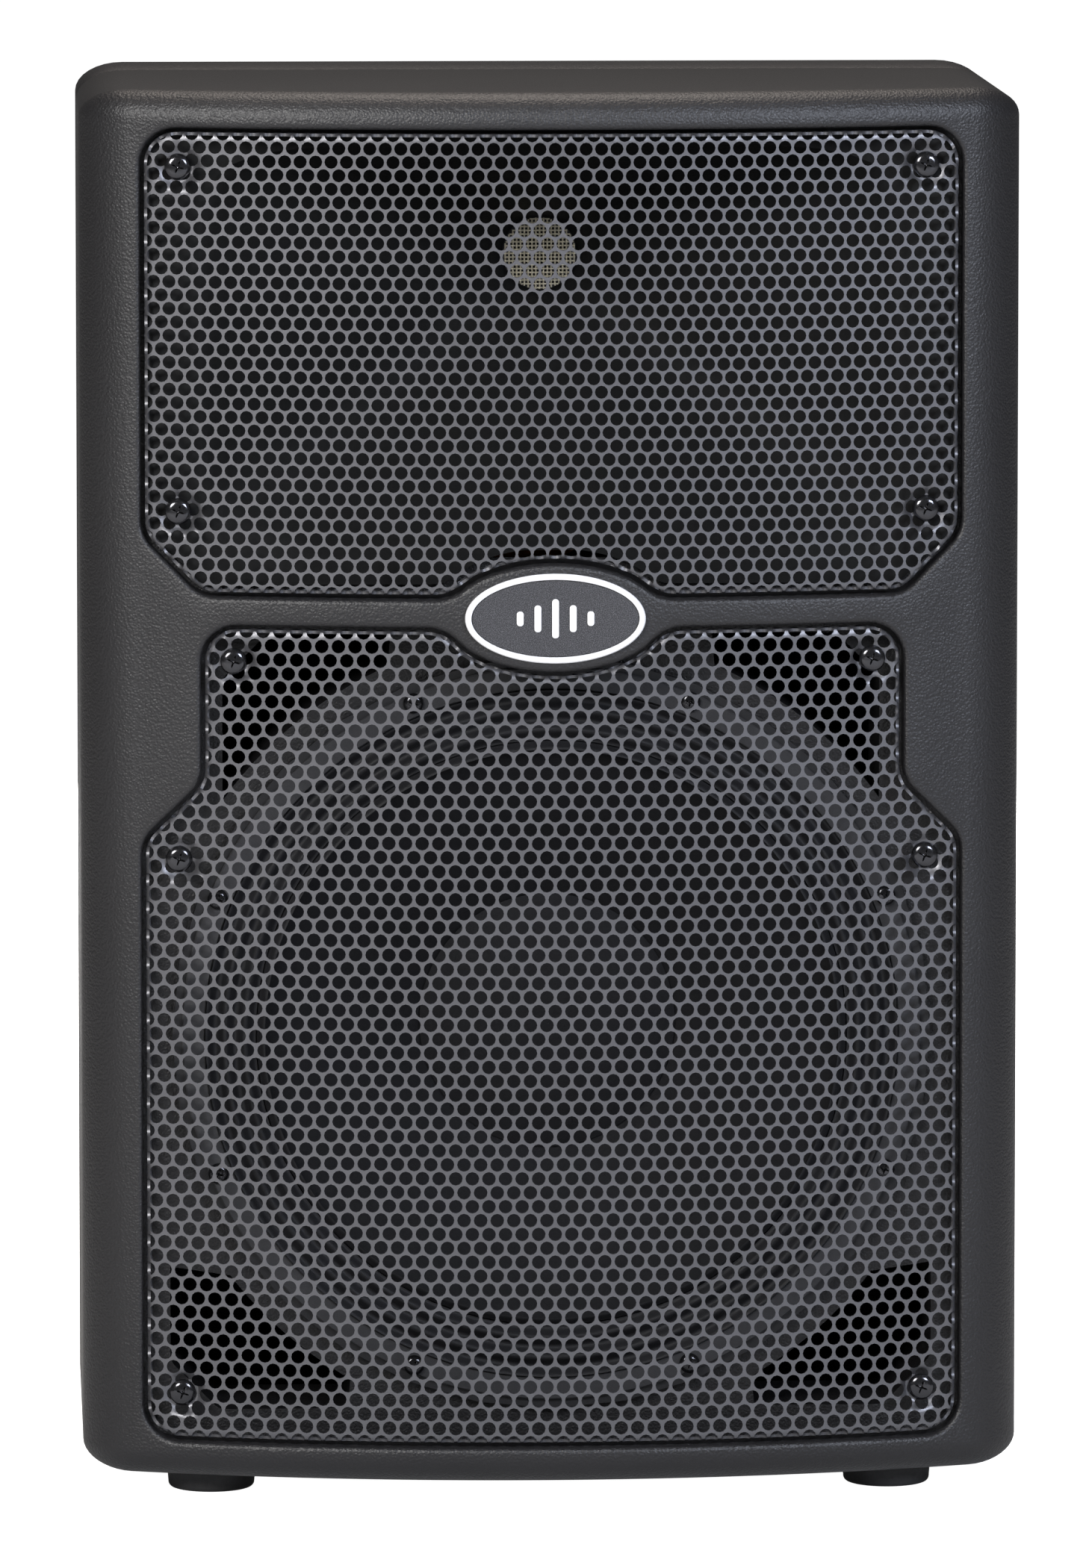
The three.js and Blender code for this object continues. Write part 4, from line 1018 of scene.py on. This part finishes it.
def noise(tree, scale, detail=2.0, roughness=0.5):
    """Noise with about scale lumps to a metre."""
    made = shader_node(tree, "ShaderNodeTexNoise", Scale=scale, Detail=detail, Roughness=roughness)
    tree.links.new(object_points(tree), made.inputs["Vector"])
    return made.outputs["Fac"]


def ranged(tree, value, low, high, from_low=0.3, from_high=0.7):
    """A value stretched from one range to another. Most noise lies between 0.3 and 0.7."""
    made = tree.nodes.new("ShaderNodeMapRange")
    tree.links.new(value, made.inputs["Value"])
    for key, number in zip(("From Min", "From Max", "To Min", "To Max"), (from_low, from_high, low, high)):
        made.inputs[key].default_value = number
    return made.outputs["Result"]


def tinted(tree, value, dark, light, shader):
    """The shader's base colour runs from dark to light with a value from 0 to 1."""
    mix = tree.nodes.new("ShaderNodeMix")
    mix.data_type = "RGBA"
    mix.inputs["A"].default_value = (*dark, 1)
    mix.inputs["B"].default_value = (*light, 1)
    tree.links.new(value, mix.inputs["Factor"])
    tree.links.new(mix.outputs["Result"], shader.inputs["Base Color"])


def bumped(tree, shader, height, strength, distance):
    """Bumps from a height of 0 to 1 that stands for a distance in metres."""
    bump = shader_node(tree, "ShaderNodeBump", Strength=strength, Distance=distance)
    tree.links.new(height, bump.inputs["Height"])
    tree.links.new(bump.outputs["Normal"], shader.inputs["Normal"])


def grained(name, colour, spread, roughness, grain, strength, depth=0.0002, metallic=0.0, sheen=0.5):
    """A surface with fine grain of a given size in metres, a little uneven in colour and gloss."""
    material, tree, shader = new_material(name)
    broad = noise(tree, 14.0, 3.0)
    fine = noise(tree, 1 / grain, 2.0, 0.6)
    shader.inputs["Metallic"].default_value = metallic
    shader.inputs["Specular IOR Level"].default_value = sheen
    dark = tuple(c * (1 - spread) for c in colour)
    light = tuple(c * (1 + spread) for c in colour)
    tinted(tree, ranged(tree, broad, 0.0, 1.0), dark, light, shader)
    tree.links.new(ranged(tree, fine, roughness - 0.06, roughness + 0.06), shader.inputs["Roughness"])
    bumped(tree, shader, fine, strength, depth)
    return material


@cache
def shell_plastic():
    """Charcoal moulding with a pebbled leather grain."""
    material, tree, shader = new_material("charcoal_pebble_moulding")
    cells = shader_node(tree, "ShaderNodeTexVoronoi", Scale=850.0, Randomness=1.0)
    tree.links.new(object_points(tree), cells.inputs["Vector"])
    fine = noise(tree, 1500.0, 2.0)
    broad = noise(tree, 9.0, 3.0)
    height = tree.nodes.new("ShaderNodeMath")
    height.operation = "ADD"
    tree.links.new(ranged(tree, cells.outputs["Distance"], 1.0, 0.0, 0.0, 0.8), height.inputs[0])
    tree.links.new(ranged(tree, fine, 0.0, 0.4), height.inputs[1])
    tinted(tree, ranged(tree, broad, 0.0, 1.0), (0.0105, 0.010, 0.011), (0.0135, 0.013, 0.014), shader)
    tree.links.new(ranged(tree, fine, 0.4, 0.52), shader.inputs["Roughness"])
    bumped(tree, shader, height.outputs[0], 0.7, 0.00022)
    return material


@cache
def grille_steel():
    return grained("grille_powder_coat", (0.142, 0.142, 0.152), 0.04, 0.42, 0.0006, 0.2, 0.0001, 0.7)


@cache
def black_steel():
    return grained("black_screw_steel", (0.07, 0.07, 0.075), 0.1, 0.16, 0.0005, 0.05, 0.00005, 0.9)


@cache
def white_rim():
    return grained("badge_white_enamel", (0.86, 0.86, 0.87), 0.02, 0.32, 0.0007, 0.05, 0.00005)


@cache
def badge_field():
    """Dark grey metallic paint with fine bright specks."""
    material, tree, shader = new_material("badge_speckled_field")
    specks = noise(tree, 2600.0, 2.0, 0.7)
    tinted(tree, ranged(tree, specks, 0.0, 1.0, 0.45, 0.7), (0.022, 0.022, 0.025), (0.13, 0.13, 0.14), shader)
    tree.links.new(ranged(tree, specks, 0.5, 0.3), shader.inputs["Roughness"])
    bumped(tree, shader, specks, 0.15, 0.00005)
    return material


@cache
def horn_plastic():
    return grained("horn_satin_moulding", (0.009, 0.009, 0.009), 0.1, 0.7, 0.0012, 0.15, sheen=0.2)


@cache
def screen_wire():
    return grained("throat_screen_wire", (0.62, 0.57, 0.44), 0.1, 0.45, 0.0006, 0.1, 0.00005, 0.3)


@cache
def gasket_fibre():
    return grained("gasket_pressed_fibre", (0.04, 0.04, 0.043), 0.15, 0.85, 0.0009, 0.4)


@cache
def pleated_cloth():
    return grained("pleated_doped_cloth", (0.014, 0.014, 0.016), 0.2, 0.55, 0.0005, 0.5, sheen=0.35)


@cache
def cone_paper():
    return grained("felted_cone_paper", (0.010, 0.010, 0.0115), 0.15, 0.75, 0.0011, 0.6, sheen=0.25)


@cache
def foot_rubber():
    return grained("moulded_rubber", (0.018, 0.018, 0.019), 0.15, 0.7, 0.0015, 0.3)


@cache
def connector_plastic():
    return grained("connector_black_moulding", (0.014, 0.014, 0.015), 0.1, 0.42, 0.0009, 0.15)


@cache
def knob_plastic():
    return grained("knob_soft_moulding", (0.035, 0.035, 0.038), 0.1, 0.5, 0.0007, 0.2)


@cache
def panel_paint():
    return grained("panel_dark_powder_coat", (0.024, 0.025, 0.028), 0.08, 0.5, 0.0005, 0.35)


@cache
def dark_anodised():
    return grained("heatsink_black_anodised", (0.04, 0.041, 0.045), 0.1, 0.38, 0.0004, 0.1, 0.00005, 0.8)


@cache
def plated_metal():
    return grained("plated_bright_metal", (0.5, 0.5, 0.52), 0.08, 0.3, 0.0006, 0.08, 0.00005, 1.0)


@cache
def copper():
    return grained("lacquered_copper", (0.5, 0.17, 0.06), 0.15, 0.4, 0.0004, 0.4, 0.0001, 0.9)


@cache
def board_green():
    return grained("green_circuit_laminate", (0.02, 0.08, 0.04), 0.2, 0.45, 0.002, 0.2)


@cache
def driver_paint():
    return grained("driver_dark_casting", (0.015, 0.015, 0.017), 0.1, 0.5, 0.0012, 0.3)


@cache
def ferrite():
    return grained("ferrite_ceramic", (0.035, 0.035, 0.038), 0.2, 0.75, 0.001, 0.4)


CAD_FINISHES = {
    "shell_gasket": foot_rubber,
    "compression_driver_body": driver_paint,
    "compression_driver_cap": driver_paint,
    "hf_diaphragm": plated_metal,
    "woofer_basket": driver_paint,
    "woofer_spider": pleated_cloth,
    "woofer_voice_coil": copper,
    "woofer_top_plate": plated_metal,
    "woofer_magnet": ferrite,
    "woofer_back_plate": plated_metal,
    "amp_board": board_green,
    "power_transformer": copper,
}


# ---- studio
SKY_SEEN = 1.1  # strength of the white sky where the camera sees it, and where it lights the cabinet
SKY_ON_OBJECT = 0.08


def studio():
    """A pale floor under a white sky, with soft boxes at the left, the right, overhead and low behind."""
    bpy.ops.mesh.primitive_plane_add(size=80, location=(0, 20, 0))
    floor = bpy.context.object
    floor.name = "floor"
    floor.data.materials.append(floor_paint())
    world = bpy.data.worlds.new("studio")
    world.use_nodes = True
    background = world.node_tree.nodes["Background"]
    background.inputs["Color"].default_value = (1, 1, 1, 1)
    path = world.node_tree.nodes.new("ShaderNodeLightPath")
    strength = world.node_tree.nodes.new("ShaderNodeMapRange")
    strength.inputs["To Min"].default_value = SKY_ON_OBJECT
    strength.inputs["To Max"].default_value = SKY_SEEN
    world.node_tree.links.new(path.outputs["Is Camera Ray"], strength.inputs["Value"])
    world.node_tree.links.new(strength.outputs["Result"], background.inputs["Strength"])
    bpy.context.scene.world = world
    soft_light("left", (-1.2, -2.0, 1.5), 0.8, 60, (1.0, 0.985, 0.97))
    soft_light("right", (1.25, -2.0, 1.4), 0.7, 46, (0.80, 0.86, 1.0))
    soft_light("overhead", (0.0, 0.5, 2.3), 1.2, 24, (1.0, 0.90, 0.82))
    soft_light("back", (0.0, 2.4, 0.3), 0.34, 75, (1.0, 0.98, 0.96))
    bpy.context.scene.view_settings.view_transform = "Standard"


def floor_paint():
    """A white floor that is lit enough to fade into the sky."""
    material, tree, shader = new_material("pale_floor")
    speck = noise(tree, 40.0, 3.0)
    tinted(tree, ranged(tree, speck, 0.0, 1.0), (0.5, 0.5, 0.5), (0.54, 0.54, 0.54), shader)
    shader.inputs["Roughness"].default_value = 0.9
    shader.inputs["Emission Color"].default_value = (1, 1, 1, 1)
    path = tree.nodes.new("ShaderNodeLightPath")
    glow = ranged(tree, path.outputs["Is Camera Ray"], 0.1, 1.0, 0.0, 1.0)
    tree.links.new(glow, shader.inputs["Emission Strength"])
    return material


def soft_light(name, place, size, power, colour):
    """A square lamp, with its side in metres and its power in watts, aimed at the cabinet's middle."""
    data = bpy.data.lights.new(name, "AREA")
    data.shape = "SQUARE"
    data.size = size
    data.energy = power
    data.color = colour
    light = bpy.data.objects.new(name, data)
    light.location = place
    aim = Vector((0, 0, TOP / 2)) - light.location
    light.rotation_euler = aim.to_track_quat("-Z", "Y").to_euler()
    bpy.context.scene.collection.objects.link(light)


def camera():
    """The photo's view: a long lens a little above the cabinet and to its left."""
    distance = 4.8
    eye_height = 0.86
    azimuth = math.radians(-2.7)
    picture_tall = 0.635  # metres of the front plane from the picture's bottom to its top
    shift = -0.14
    sensor = 36.0
    middle_x, middle_z = -0.0051, 0.2993  # what the picture's middle shows, on the front plane
    aim = Vector((middle_x, APEX_Y, middle_z - shift * picture_tall))
    data = bpy.data.cameras.new("camera")
    data.sensor_fit = "VERTICAL"
    data.sensor_height = sensor
    data.lens = sensor * distance / picture_tall
    data.shift_y = shift
    obj = bpy.data.objects.new("camera", data)
    obj.location = Vector((distance * math.sin(azimuth), APEX_Y - distance * math.cos(azimuth), eye_height))
    obj.rotation_euler = (aim - obj.location).to_track_quat("-Z", "Y").to_euler()
    bpy.context.scene.collection.objects.link(obj)
    bpy.context.scene.camera = obj


# ---- assembly
def screw_places(nodes):
    """For each screw: its x and z, and the y of its seat."""
    clearance = 0.0002
    places = []
    for name in nodes:
        x, _, z = middle_of(name)
        places.append((x, z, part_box(name)[0].y + HEAD_HEIGHT + clearance))
    return places


def build():
    """Makes every piece, and gives the CAD nodes that stay visible their materials."""
    camera()
    studio()
    openings = [upper_opening(), lower_opening()]
    front_shell(openings)
    rear_shell()
    grille_screws = [f"grille_screw_{i}" for i in range(1, 11)]
    upper = [p for p in screw_places(grille_screws) if p[1] > BADGE_Z]
    lower = [p for p in screw_places(grille_screws) if p[1] < BADGE_Z]
    grille("upper_grille_perforated", openings[0], upper, *UPPER_HOLES)
    grille("lower_grille_perforated", openings[1], lower, *LOWER_HOLES)
    for name in grille_screws + [f"woofer_screw_{i}" for i in range(1, 9)]:
        pan_screw(f"{name}_head", name)
    badge()
    horn()
    throat_screen()
    woofer()
    handle()
    for node in ("foot_front_left", "foot_front_right", "foot_rear_left", "foot_rear_right"):
        foot(node)
    rear_details()
    for name, finish in CAD_FINISHES.items():
        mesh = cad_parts[name].data
        mesh.materials.clear()
        mesh.materials.append(finish())


build()
